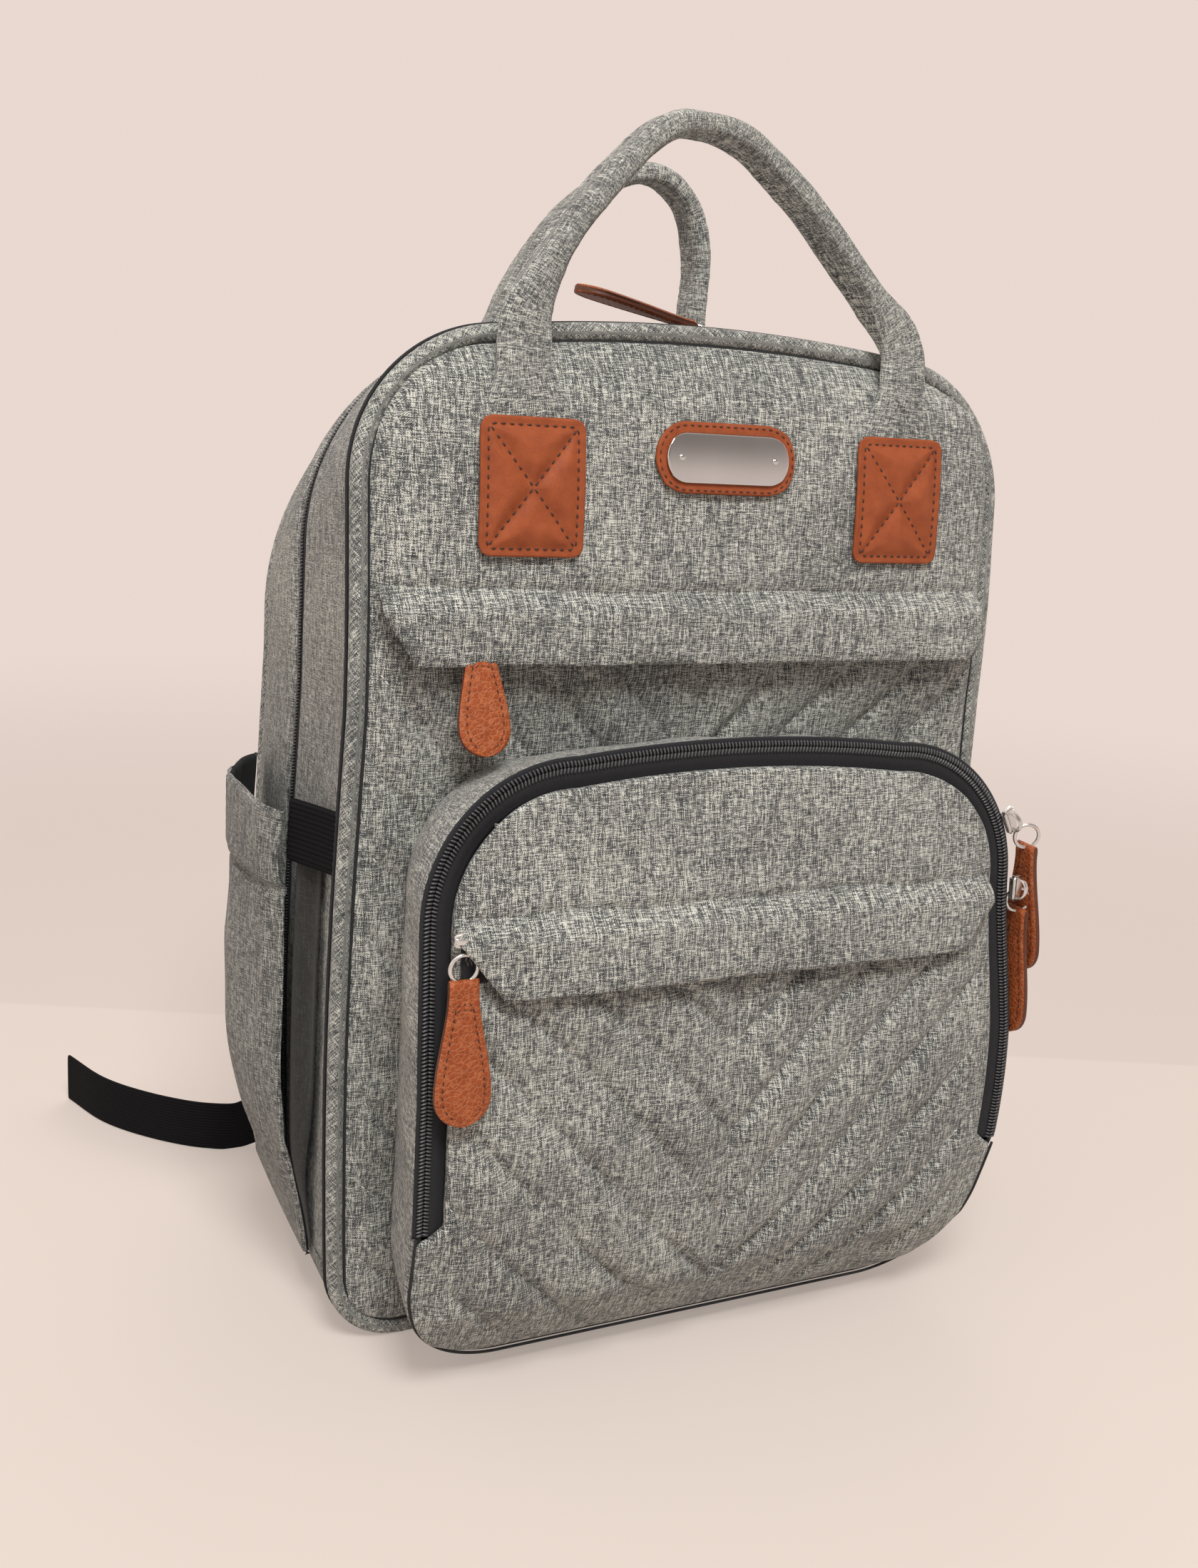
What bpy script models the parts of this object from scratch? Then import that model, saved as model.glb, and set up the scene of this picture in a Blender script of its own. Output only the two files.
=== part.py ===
"""A backpack-style diaper bag in heather fabric with leather trims.

Units are metres and +Z is up. The bag stands on its base, its front faces -Y, and the origin is the
middle of the base. Every sub-part is one closed solid in an object of its own.
"""

import math

import bmesh
import bpy
from mathutils import Matrix, Vector

GAP = 0.0003  # clearance between sewn pieces that touch

# Body: a tall box with an arched top, whose back arch is rounder and lower than the front arch.
FRONT_Y = -0.068
BACK_Y = 0.068
FRONT_HALF_WIDTH = 0.1435
BACK_HALF_WIDTH = 0.141
FRONT_TOP = 0.409
BACK_TOP = 0.393
FRONT_SHOULDER = 0.058
BACK_SHOULDER = 0.112
TOP_CROWN = 0.005
TOP_PUFF = 0.006
BASE_CORNER = 0.030
SIDE_BULGE = 0.0035
LEAN_START = 0.270
LEAN_DEPTH = 0.010
WALL = 0.004
BASE_THICK = 0.006

# The top opens along a zip in a plane of constant depth, and folds forward on one crease.
ZIP_Y = 0.008
ZIP_HALF = 0.0043
ZIP_TAPE_THICK = 0.002
ZIP_TAPE_INSET = 0.0008  # the zip's tape lies below the fabric's outer face
ZIP_MEETING = 0.0002  # from the zip's middle to either tape
FOLD_Z = 0.262
FOLD_Y = -0.0728
FOLD_INDEX = 12  # the outline point that lies at the height of the fold
FRONT_STANDS_OUT = 0.0042  # the front panel's face ahead of the piping's plane
FRONT_PANEL_BACK = 0.002  # the front panel's inner face behind the piping's plane
LID_BULGE = 0.012
LID_BULGE_Z = 0.350
LID_BULGE_SPREAD = 0.055

PIPING_R = 0.003
SEAM = 0.0036  # piping centre line to the next panel's edge

# Padded back panel: (depth, further inset) of its rings.
BACK_PANEL_RINGS = ((0.066, 0.0), (0.071, 0.0), (0.0765, 0.012))

# Front pocket, with a zip over its top and down both sides.
POCKET_HALF_WIDTH = 0.1305
POCKET_TOP = 0.260
POCKET_CORNER = 0.059
POCKET_CROWN = 0.0045
POCKET_BASE_INSET = 0.0105
POCKET_BOTTOM = 0.009
POCKET_BOTTOM_CORNER = 0.045
POCKET_BULGE_RIGHT = 0.009
POCKET_BULGE_Z = 0.105
POCKET_BULGE_SPREAD = 0.095
BULGE_FROM_X = 0.090
POCKET_FOLD_Z = 0.078
POCKET_FOLD_Y = -0.1322
POCKET_FACE_PUFF = 0.003
POCKET_FACE_THICK = 0.004
POCKET_RISE_POINTS = 6  # outline points on each straight side above the fold
GUSSET_THICK = 0.003
COIL_R = 0.0017
COIL_DEPTH = 0.0021  # the coil's line behind the rim
TAPE_OUTER = 0.0040
TAPE_INNER = 0.0090
TAPE_FRONT = 0.0010
TAPE_BACK = 0.0028
FACE_TOP_CURVE = 0.052  # height over which the face's rows follow the pocket's arched top

# The pocket rim's depth at a row of heights: (z, y).
RIM_STATIONS = ((0.000, -0.104), (0.040, -0.121), (0.078, -0.1275), (0.130, -0.1265), (0.190, -0.1215),
                (0.270, -0.1155))

# Storm flaps over the two welt zips
FLAP_THICK = 0.0022
FLAP_CLEAR = 0.0045  # room for the slider below a flap
FLAP_SEWN_CLEAR = 0.0008
UPPER_FLAP_TOP = 0.311
UPPER_FLAP_BOTTOM = 0.283
UPPER_FLAP_AXIS_Y = -0.0835
LOWER_FLAP_TOP = 0.2005
LOWER_FLAP_BOTTOM = 0.171
LOWER_FLAP_AXIS_Y = -0.1285

# Welt zips: the tape's inner and outer face ahead of the panel that it is set into.
WELT_INNER = 0.0005
WELT_OUTER = 0.0013

# Leather and metal pieces on the front
PATCH_X = 0.0806
PATCH_Z = 0.3477
PATCH_WIDTH = 0.039
PATCH_HEIGHT = 0.0486
PATCH_THICK = 0.0024
PATCH_LIFT = 0.0006
BADGE_Z = 0.361
BADGE_WIDTH = 0.0620
BADGE_HEIGHT = 0.0275
BADGE_THICK = 0.0020
PLATE_WIDTH = 0.0540
PLATE_HEIGHT = 0.0205
PLATE_THICK = 0.0008

# Sliders, their rings and their leather pulls
UPPER_SLIDER = (-0.0990, 0.3035)  # x, z
LOWER_SLIDER = (-0.1130, 0.1960)
FLAT_SLIDER_THICK = 0.0012
TOP_SLIDER_ANGLE = 24.0  # round the pocket's corner, in degrees
SIDE_SLIDER_Z = 0.1920
POCKET_SLIDER_SIZE = (0.004, 0.007, 0.011)
TOP_RING = (0.1395, -0.1182, 0.2140)
SIDE_RING = (0.1382, -0.1200, 0.1865)
MAIN_SLIDER_X = 0.046
MAIN_SLIDER_Y = ZIP_Y + 0.0042
MAIN_SLIDER_SIZE = (0.013, 0.009, 0.0052)
PULL_LENGTH = 0.055
UPPER_PULL_LENGTH = 0.042
UPPER_PULL_TILT = 17.0  # leaning forward, in degrees
PULL_TOP_WIDTH = 0.011
PULL_WIDTH = 0.023
PULL_THICK = 0.0030
RING_R = 0.0052
RING_WIRE = 0.0007
UPPER_RING_R = 0.0036

# Carry handles
HANDLE_WIDTH = 0.020
HANDLE_THICK = 0.008
HANDLE_FOOT_DEPTH = 0.0060
HANDLE_FOOT_WIDTH = 0.0220
REAR_HANDLE_WIDTH = 0.018
FRONT_HANDLE_AXIS = (0.0, -0.0812, 0.3738)
REAR_HANDLE_AXIS = (0.0, 0.0745, 0.3945)

# Side pockets and their elastic
SIDE_POCKET_BULGE = 0.0215
SIDE_POCKET_FRONT = -0.042
SIDE_POCKET_BACK = 0.052
SIDE_POCKET_TOP = 0.217
SIDE_POCKET_BOTTOM = 0.034
SIDE_POCKET_WALL = 0.0024
SIDE_POCKET_CLEAR = 0.0007
ELASTIC_BOTTOM = 0.200
ELASTIC_TOP = 0.2245
ELASTIC_OUTER = 0.0026

# Shoulder straps
STRAP_TOP = (0.045, 0.0775, 0.345)
STRAP_TOP_WIDTH = 0.056
STRAP_FOOT_WIDTH = 0.046
STRAP_THICK = 0.009
WEBBING = 0.025
WEBBING_THICK = 0.0016
LYING_FLAT = 0.75  # level share of a loose end's direction from which it stands on its edge
YOKE_CENTRE = (0.0, 0.0793, 0.3600)
YOKE_SIZE = (0.150, 0.0040, 0.0240)
LOCK_CENTRE = (0.0998, 0.0955, 0.1180)
LOCK_SIZE = (0.031, 0.0035, 0.021)
ANCHOR_CENTRE = (0.1205, 0.0792, 0.0395)
ANCHOR_SIZE = (0.026, 0.0038, 0.0200)

FABRIC = (0.33, 0.34, 0.36)
DARK_FABRIC = (0.16, 0.17, 0.19)
CHARCOAL = (0.035, 0.038, 0.05)
BLACK = (0.012, 0.012, 0.013)
LEATHER = (0.42, 0.13, 0.045)
SILVER = (0.75, 0.75, 0.76)
MESH_GREY = (0.10, 0.105, 0.115)


# ---------------------------------------------------------------- helpers

def material(name, colour, roughness=0.85, metallic=0.0):
    """A Principled material with the piece's own colour."""
    mat = bpy.data.materials.new(name)
    mat.use_nodes = True
    shader = mat.node_tree.nodes["Principled BSDF"]
    shader.inputs["Base Color"].default_value = (*colour, 1.0)
    shader.inputs["Roughness"].default_value = roughness
    shader.inputs["Metallic"].default_value = metallic
    mat.diffuse_color = (*colour, 1.0)
    return mat


def add_object(name, data, colour, roughness, metallic):
    """Link data as an object with its own material."""
    data.materials.append(material(name, colour, roughness, metallic))
    obj = bpy.data.objects.new(name, data)
    bpy.context.collection.objects.link(obj)
    return obj


def add_mesh(name, bm, colour, roughness=0.85, metallic=0.0):
    """Turn a bmesh into an object with its faces pointing out."""
    bmesh.ops.recalc_face_normals(bm, faces=bm.faces)
    mesh = bpy.data.meshes.new(name)
    bm.to_mesh(mesh)
    bm.free()
    mesh.shade_smooth()
    mesh.set_sharp_from_angle(angle=math.radians(40))
    return add_object(name, mesh, colour, roughness, metallic)


def ring_solid(name, rings, colour, roughness=0.85, metallic=0.0, closed=False):
    """A solid through a row of rings with equal point counts; closed joins the last ring to the first."""
    bm = bmesh.new()
    verts = [[bm.verts.new(p) for p in ring] for ring in rings]
    count = len(rings[0])
    pairs = list(zip(verts, verts[1:]))
    if closed:
        pairs.append((verts[-1], verts[0]))
    for low, high in pairs:
        for i in range(count):
            j = (i + 1) % count
            bm.faces.new((low[i], low[j], high[j], high[i]))
    if not closed:
        bm.faces.new(verts[0])
        bm.faces.new(verts[-1])
    return add_mesh(name, bm, colour, roughness, metallic)


def sheet_solid(name, front, back, colour, roughness=0.85, metallic=0.0):
    """A solid between two grids of points, joined around their border."""
    bm = bmesh.new()
    rows, columns = len(front), len(front[0])
    layers = [[[bm.verts.new(p) for p in row] for row in grid] for grid in (front, back)]
    for layer in layers:
        for i in range(rows - 1):
            for j in range(columns - 1):
                bm.faces.new((layer[i][j], layer[i][j + 1], layer[i + 1][j + 1], layer[i + 1][j]))
    border = [(0, j) for j in range(columns)]
    border += [(i, columns - 1) for i in range(1, rows)]
    border += [(rows - 1, j) for j in range(columns - 2, -1, -1)]
    border += [(i, 0) for i in range(rows - 2, 0, -1)]
    for (i, j), (k, m) in zip(border, border[1:] + border[:1]):
        bm.faces.new((layers[0][i][j], layers[0][k][m], layers[1][k][m], layers[1][i][j]))
    return add_mesh(name, bm, colour, roughness, metallic)


def tube(name, points, radius, colour, closed=False, roughness=0.85, metallic=0.0):
    """A round cord through points, made as a bevelled curve."""
    curve = bpy.data.curves.new(name, "CURVE")
    curve.dimensions = "3D"
    curve.bevel_depth = radius
    curve.bevel_resolution = 1
    curve.use_fill_caps = not closed
    spline = curve.splines.new("POLY")
    spline.points.add(len(points) - 1)
    for point, co in zip(spline.points, points):
        point.co = (*co, 1.0)
    spline.use_cyclic_u = closed
    return add_object(name, curve, colour, roughness, metallic)


def block(name, centre, size, colour, roughness=0.85, metallic=0.0, turn=None, bevel=0.0):
    """A box, turned by a rotation matrix and optionally bevelled."""
    bm = bmesh.new()
    bmesh.ops.create_cube(bm, size=1.0)
    bmesh.ops.scale(bm, vec=size, verts=bm.verts)
    if bevel:
        bmesh.ops.bevel(bm, geom=bm.edges[:], offset=bevel, segments=1, affect="EDGES")
    if turn is not None:
        bmesh.ops.rotate(bm, verts=bm.verts, matrix=turn)
    bmesh.ops.translate(bm, verts=bm.verts, vec=centre)
    return add_mesh(name, bm, colour, roughness, metallic)


def move_origin(obj, point):
    """Put the object's origin on its joint axis without moving its shape."""
    point = Vector(point)
    obj.data.transform(Matrix.Translation(-point))
    obj.location = point


def lerp(a, b, t):
    return a + (b - a) * t


def smooth(t):
    t = min(max(t, 0.0), 1.0)
    return t * t * (3.0 - 2.0 * t)


def bump(t):
    """1 at the middle, falling to 0 at t = -1 and 1."""
    return (1.0 - t * t) ** 2 if abs(t) < 1.0 else 0.0


def arc(centre, radius, start, stop, steps):
    """Points on a circle from start to stop, in degrees, both ends included."""
    angles = [math.radians(lerp(start, stop, i / steps)) for i in range(steps + 1)]
    return [(centre[0] + radius * math.cos(a), centre[1] + radius * math.sin(a)) for a in angles]


def spline_points(points, steps):
    """A smooth Catmull-Rom line through the given points."""
    points = [Vector(p) for p in points]
    points = [2 * points[0] - points[1], *points, 2 * points[-1] - points[-2]]
    line = []
    for a, b, c, d in zip(points, points[1:], points[2:], points[3:]):
        for i in range(steps):
            t = i / steps
            line.append(0.5 * (2 * b + (c - a) * t + (2 * a - 5 * b + 4 * c - d) * t ** 2
                               + (3 * b - a - 3 * c + d) * t ** 3))
    line.append(points[-2])
    return line


# ---------------------------------------------------------------- body surface

def side_bulge(z):
    return SIDE_BULGE * math.sin(math.pi * z / FOLD_Z) if 0.0 < z < FOLD_Z else 0.0


def body_share(y):
    return (y - FRONT_Y) / (BACK_Y - FRONT_Y)


def half_outline(y, inset=0.0):
    """The right half of the body's outline at depth y, from the base's middle up to the top's middle."""
    b = body_share(y)
    half = lerp(FRONT_HALF_WIDTH, BACK_HALF_WIDTH, b) - inset
    top = lerp(FRONT_TOP, BACK_TOP, b) + TOP_PUFF * math.sin(math.pi * min(max(b, 0.0), 1.0)) - inset
    shoulder = lerp(FRONT_SHOULDER, BACK_SHOULDER, b) - inset
    corner = BASE_CORNER - inset
    crown = TOP_CROWN * (1.0 - 0.8 * b)
    spring = top - crown - shoulder
    points = [(0.0, inset), ((half - corner) * 0.5, inset)]
    points += arc((half - corner, inset + corner), corner, -90, 0, 4)
    side = [inset + corner + (FOLD_Z - inset - corner) * i / 6 for i in range(1, 7)]
    points += [(half, z) for z in side]
    # Past the fold the side goes on up, then turns over the shoulder.
    if spring > FOLD_Z:
        points += [(half, lerp(FOLD_Z, spring, i / 2)) for i in (1, 2)]
        points += arc((half - shoulder, spring), shoulder, 0, 90, 8)[1:]
    else:
        lift = math.degrees(math.asin(min(1.0, (FOLD_Z - spring) / shoulder)))
        points += arc((half - shoulder, spring), shoulder, lift, 90, 10)[1:]
    reach = half - shoulder
    for i in range(1, 4):
        x = reach * (1 - i / 3)
        points.append((x, top - crown * (x / reach) ** 2))
    return [(x + side_bulge(z) * (1 if x > 0.1 else 0), z) for x, z in points]


def front_y(z):
    return FRONT_Y + LEAN_DEPTH * smooth((z - LEAN_START) / (FRONT_TOP - LEAN_START))


def body_point(index, y, inset=0.0, side=1, along_front=False):
    """The body's surface at an outline point and a depth; along_front follows the leaning front edge."""
    x, z = half_outline(y, inset)[index]
    if along_front:
        y += front_y(z) - FRONT_Y
    return (side * x, y, z)


def loop_indices(first, last):
    """Outline steps from the right side over the top to the left side, as (index, side)."""
    right = [(i, 1) for i in range(first, last + 1)]
    left = [(i, -1) for i in range(last - 1, first - 1, -1)]
    return right + left


LAST = len(half_outline(FRONT_Y)) - 1


def band(name, steps, y_front, y_back, colour, thick=WALL, inset=0.0, closed=False,
         lean_front=False, **look):
    """A strip of the body's skin between two depths, along the given outline steps."""
    rings = []
    middle = 0.5 * (y_front + y_back)
    for index, side in steps:
        outer = [body_point(index, y_front, inset, side, lean_front)]
        outer += [body_point(index, y, inset, side) for y in (middle, y_back)]
        inner = [body_point(index, y_front, inset + thick, side, lean_front)]
        inner += [body_point(index, y, inset + thick, side) for y in (middle, y_back)]
        rings.append(outer + inner[::-1])
    return ring_solid(name, rings, colour, closed=closed, **look)


# ---------------------------------------------------------------- main body

def build_body():
    front_edge = FRONT_Y + SEAM
    back_edge = BACK_Y - SEAM
    base = [(i, -1) for i in (5, 4, 3, 2, 1)] + [(i, 1) for i in range(0, 6)]
    band("base_panel", base, front_edge, back_edge, DARK_FABRIC, thick=BASE_THICK)
    for label, side in (("left", -1), ("right", 1)):
        rows = [(i, side) for i in range(6, FOLD_INDEX + 1)]
        panel = band(f"side_panel_{label}", rows, front_edge, back_edge, FABRIC)
        trim_ends(panel, BASE_CORNER + GAP, FOLD_Z - GAP)
    over = loop_indices(FOLD_INDEX, LAST)
    rear = band("top_gusset_rear", over, ZIP_Y + ZIP_HALF, back_edge, FABRIC)
    front = band("top_gusset_front", over, front_edge, ZIP_Y - ZIP_HALF, FABRIC, lean_front=True)
    tape_rear = band("main_zip_rear", over, ZIP_Y + ZIP_MEETING, ZIP_Y + ZIP_HALF - GAP, CHARCOAL,
                     thick=ZIP_TAPE_THICK, inset=ZIP_TAPE_INSET)
    tape_front = band("main_zip_front", over, ZIP_Y - ZIP_HALF + GAP, ZIP_Y - ZIP_MEETING, CHARCOAL,
                      thick=ZIP_TAPE_THICK, inset=ZIP_TAPE_INSET)
    for piece in (rear, front, tape_rear, tape_front):
        trim_ends(piece, FOLD_Z + GAP, 1.0)


def trim_ends(obj, low, high):
    """Pull a band's end points back to the heights between which it lies."""
    for vertex in obj.data.vertices:
        vertex.co.z = min(max(vertex.co.z, low), high)


def closed_outline(y, inset):
    """The whole outline at depth y as (x, z)."""
    right = half_outline(y, inset)
    return right + [(-x, z) for x, z in right[-2:0:-1]]


def edge_x(y, inset, z):
    """The body's half-width at depth y and height z."""
    outline = half_outline(y, inset)
    for (x0, z0), (x1, z1) in zip(outline, outline[1:]):
        if z0 <= z <= z1 and z1 > z0:
            return lerp(x0, x1, (z - z0) / (z1 - z0))
    return outline[-1][0]


def outline_top(y, inset, x):
    """The height of the body's top over a place across its width."""
    outline = half_outline(y, inset)
    x = abs(x)
    for (x0, z0), (x1, z1) in zip(outline[5:], outline[6:]):
        if x1 <= x <= x0 and x0 > x1:
            return lerp(z0, z1, (x0 - x) / (x0 - x1))
    return outline[5][1]


def lid_surface(x, z):
    """Depth of the upper front panel's outer face: it leans back and is softly padded."""
    across = min(abs(x) / FRONT_HALF_WIDTH, 1.0)
    fade = (1.0 - across ** 8) * smooth((FRONT_TOP - z) / 0.030)
    padding = LID_BULGE * bump((z - LID_BULGE_Z) / (2 * LID_BULGE_SPREAD)) * fade
    return front_y(z) - FRONT_STANDS_OUT - padding


def front_panel_grid(low, high, surface, columns, rows):
    """Grids of the front and back faces of a panel that fills the front outline between two heights."""
    inset = PIPING_R + SEAM
    front, back = [], []
    for i in range(rows + 1):
        share = i / rows
        face, rear = [], []
        for j in range(columns + 1):
            across = 2.0 * j / columns - 1.0
            # Rows bend to follow the arched top, so that the last row lies on the outline.
            x, z = arched_place(across, share, low, high, inset)
            y = surface(x, z)
            face.append((x, y, z))
            rear.append((x, front_y(z) + FRONT_PANEL_BACK, z))
        front.append(face)
        back.append(rear)
    return front, back


def arched_place(across, share, low, high, inset):
    """A place in the front outline: across from -1 to 1, and share from the low level to the top."""
    if high is not None:
        z = lerp(low, high, share)
        return across * edge_x(FRONT_Y, inset, z), z
    half_angle = math.radians(90) * across
    spread = math.sin(half_angle) if abs(across) > 0.75 else across / 0.75 * math.sin(math.radians(67.5))
    x_low = across * edge_x(FRONT_Y, inset, low)
    x_high = spread * (FRONT_HALF_WIDTH - inset) * 0.985
    z_high = outline_top(FRONT_Y, inset, x_high)
    return lerp(x_low, x_high, share), lerp(low, z_high, share)


def build_panels():
    lower = front_panel_grid(BASE_CORNER * 0.9, FOLD_Z - GAP, lambda x, z: front_y(z) - FRONT_STANDS_OUT, 4, 5)
    sheet_solid("front_panel_lower", *lower, FABRIC)
    upper = front_panel_grid(FOLD_Z + GAP, None, lid_surface, 24, 12)
    lid = sheet_solid("front_panel_upper", *upper, FABRIC)
    move_origin(lid, (0, FOLD_Y, FOLD_Z))

    inset = PIPING_R + SEAM
    rings = []
    for depth, extra in BACK_PANEL_RINGS:
        rings.append([(x, depth, z) for x, z in closed_outline(BACK_Y, inset + extra)])
    ring_solid("back_panel", rings, MESH_GREY, 0.95)

    upper_steps = loop_indices(FOLD_INDEX, LAST)
    upper_points = [body_point(i, FRONT_Y, PIPING_R, s, True) for i, s in upper_steps]
    cut = FOLD_Z + GAP
    upper_points[0] = (upper_points[0][0], upper_points[0][1], cut)
    upper_points[-1] = (upper_points[-1][0], upper_points[-1][1], cut)
    tube("front_piping_upper", upper_points, PIPING_R, FABRIC)
    lower_steps = [(i, 1) for i in range(FOLD_INDEX, 0, -1)] + [(i, -1) for i in range(0, FOLD_INDEX + 1)]
    lower_points = [body_point(i, FRONT_Y, PIPING_R, s) for i, s in lower_steps]
    cut = FOLD_Z - GAP
    lower_points[0] = (lower_points[0][0], lower_points[0][1], cut)
    lower_points[-1] = (lower_points[-1][0], lower_points[-1][1], cut)
    tube("front_piping_lower", lower_points, PIPING_R, FABRIC)
    around = [(x, BACK_Y, z) for x, z in closed_outline(BACK_Y, PIPING_R)]
    tube("rear_piping", around, PIPING_R, FABRIC, closed=True)


# ---------------------------------------------------------------- front pocket

def rim_y(z):
    """Depth of the front pocket's rim: deepest just above its fold."""
    for (z0, y0), (z1, y1) in zip(RIM_STATIONS, RIM_STATIONS[1:]):
        if z <= z1:
            return lerp(y0, y1, (z - z0) / (z1 - z0))
    return RIM_STATIONS[-1][1]


def pocket_outline(inset=0.0, whole=True):
    """The front pocket's outline as (x, z), anticlockwise from the fold on the right: whole, or above the fold."""
    half = POCKET_HALF_WIDTH - inset
    top = POCKET_TOP - inset
    corner = POCKET_CORNER - inset
    spring = top - POCKET_CROWN - corner
    rise = [(half, lerp(POCKET_FOLD_Z, spring, i / 5)) for i in range(6)]
    shoulder = arc((half - corner, spring), corner, 0, 90, 6)[1:]
    crown = [(lerp(half - corner, 0, i / 2), top - POCKET_CROWN * (1 - i / 2) ** 2) for i in (1, 2)]
    over = rise + shoulder + crown
    over += [(-x, z) for x, z in over[-2::-1]]
    bottom = POCKET_BOTTOM + inset
    curve = POCKET_BOTTOM_CORNER - inset
    centre = (half - curve, bottom + curve)
    under = arc(centre, curve, 0, -90, 5)
    under = [(half, POCKET_FOLD_Z)] + under + [(0.0, bottom)]
    under += [(-x, z) for x, z in under[-2::-1]]
    points = over + under[-2:0:-1] if whole else over
    return [(x + right_bulge(z) if x > BULGE_FROM_X else x, z) for x, z in points]


def right_bulge(z):
    """How far the pocket's right side is pushed out by its contents."""
    return POCKET_BULGE_RIGHT * bump((z - POCKET_BULGE_Z) / POCKET_BULGE_SPREAD)


def pocket_inside(across, z, inset):
    """The place across the pocket at a height, with across from -1 to 1."""
    outline = pocket_outline(inset)
    xs = []
    for (x0, z0), (x1, z1) in zip(outline, outline[1:] + outline[:1]):
        if (z0 - z) * (z1 - z) <= 0 and z0 != z1:
            xs.append(lerp(x0, x1, (z - z0) / (z1 - z0)))
    return lerp(min(xs), max(xs), 0.5 * (across + 1.0))


def pocket_face_y(x, z):
    """Depth of the pocket's padded outer face."""
    across = min(abs(x) / POCKET_HALF_WIDTH, 1.0)
    return rim_y(z) - POCKET_FACE_PUFF * (1.0 - across ** 10) * smooth((POCKET_TOP - z) / 0.04)


def pocket_rows(levels, inset, columns, thick):
    """Grids of the front and back faces of the pocket's face at a row of heights."""
    front, back = [], []
    for z in levels:
        xs = [pocket_inside(2.0 * j / columns - 1.0, z, inset) for j in range(columns + 1)]
        front.append([(x, pocket_face_y(x, z), z) for x in xs])
        back.append([(x, rim_y(z) + thick, z) for x in xs])
    return front, back


def pocket_pairs(inset):
    """Outer and inner outline points of the gusset's wall as (x, z, inner x, inner z)."""
    outer, inner = pocket_outline(inset), pocket_outline(inset + GUSSET_THICK)
    return [(*a, *b) for a, b in zip(outer, inner)]


def gusset(name, foot, rim):
    """A strip of the pocket's wall between the bag's front and the pocket's rim."""
    foot_y = FRONT_Y - FRONT_STANDS_OUT - GAP
    rings = []
    for (xf, zf, xfi, zfi), (xr, zr, xri, zri) in zip(shorten(foot), shorten(rim)):
        edge = rim_y(zr) + POCKET_FACE_THICK + GAP
        rings.append([(xf, foot_y, zf), (xr, edge, zr), (xri, edge, zri), (xfi, foot_y, zfi)])
    return ring_solid(name, rings, FABRIC)


def build_pocket():
    rim, foot = pocket_pairs(0.0), pocket_pairs(POCKET_BASE_INSET)
    # The outline runs up the right side, over the top, down the left side and along the bottom.
    count, rise = len(pocket_outline(0.0, whole=False)), POCKET_RISE_POINTS
    for name, part in (("top", slice(rise - 1, count - rise + 1)), ("right", slice(0, rise)),
                       ("left", slice(count - rise, count))):
        gusset(f"pocket_gusset_{name}", foot[part], rim[part])
    gusset("pocket_bottom", foot[count - 1:] + foot[:1], rim[count - 1:] + rim[:1])

    coil_line = pocket_outline(COIL_R + GAP, whole=False)
    start, stop = coil_line[0], coil_line[-1]
    coil_line[0] = (start[0], start[1] + GAP)
    coil_line[-1] = (stop[0], stop[1] + GAP)
    coil = [(x, rim_y(z) + COIL_DEPTH, z) for x, z in coil_line]
    tube("pocket_zip_coil", coil, COIL_R, CHARCOAL, roughness=0.6)
    tape = []
    outer, inner = (pocket_outline(inset, whole=False) for inset in (TAPE_OUTER, TAPE_INNER))
    for (xo, zo), (xi, zi) in zip(outer, inner):
        zo, zi = max(zo, POCKET_FOLD_Z + GAP), max(zi, POCKET_FOLD_Z + GAP)
        tape.append([(xo, rim_y(zo) + TAPE_FRONT, zo), (xi, rim_y(zi) + TAPE_FRONT, zi),
                     (xi, rim_y(zi) + TAPE_BACK, zi), (xo, rim_y(zo) + TAPE_BACK, zo)])
    ring_solid("pocket_zip_tape", tape, CHARCOAL, 0.8)

    inset = TAPE_INNER + 0.0007
    top_z = POCKET_TOP - inset
    low = POCKET_FOLD_Z + GAP
    levels = [lerp(low, top_z - FACE_TOP_CURVE, i / 8) for i in range(9)]
    levels += [top_z - FACE_TOP_CURVE * (1 - math.sin(math.radians(90 * i / 7))) for i in range(1, 7)]
    levels.append(top_z - 0.0010)
    face = sheet_solid("pocket_face", *pocket_rows(levels, inset, 14, 0.0028), FABRIC)
    move_origin(face, (0, POCKET_FOLD_Y, POCKET_FOLD_Z))

    bottom = POCKET_BOTTOM + 0.0008
    levels = [bottom + (POCKET_FOLD_Z - GAP - bottom) * (1 - math.cos(math.radians(90 * i / 6))) for i in range(7)]
    sheet_solid("pocket_face_lower", *pocket_rows(levels, 0.0005, 8, 0.0036), FABRIC)


def shorten(points):
    """Draw a strip's two ends in by the sewing gap."""
    points = list(points)
    for end, inner in ((0, 1), (-1, -2)):
        a, b = points[end], points[inner]
        length = math.hypot(b[0] - a[0], b[1] - a[1])
        t = GAP / length
        points[end] = tuple(lerp(p, q, t) for p, q in zip(a, b))
    return points


# ---------------------------------------------------------------- flaps, welts and leather on the front

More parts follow.
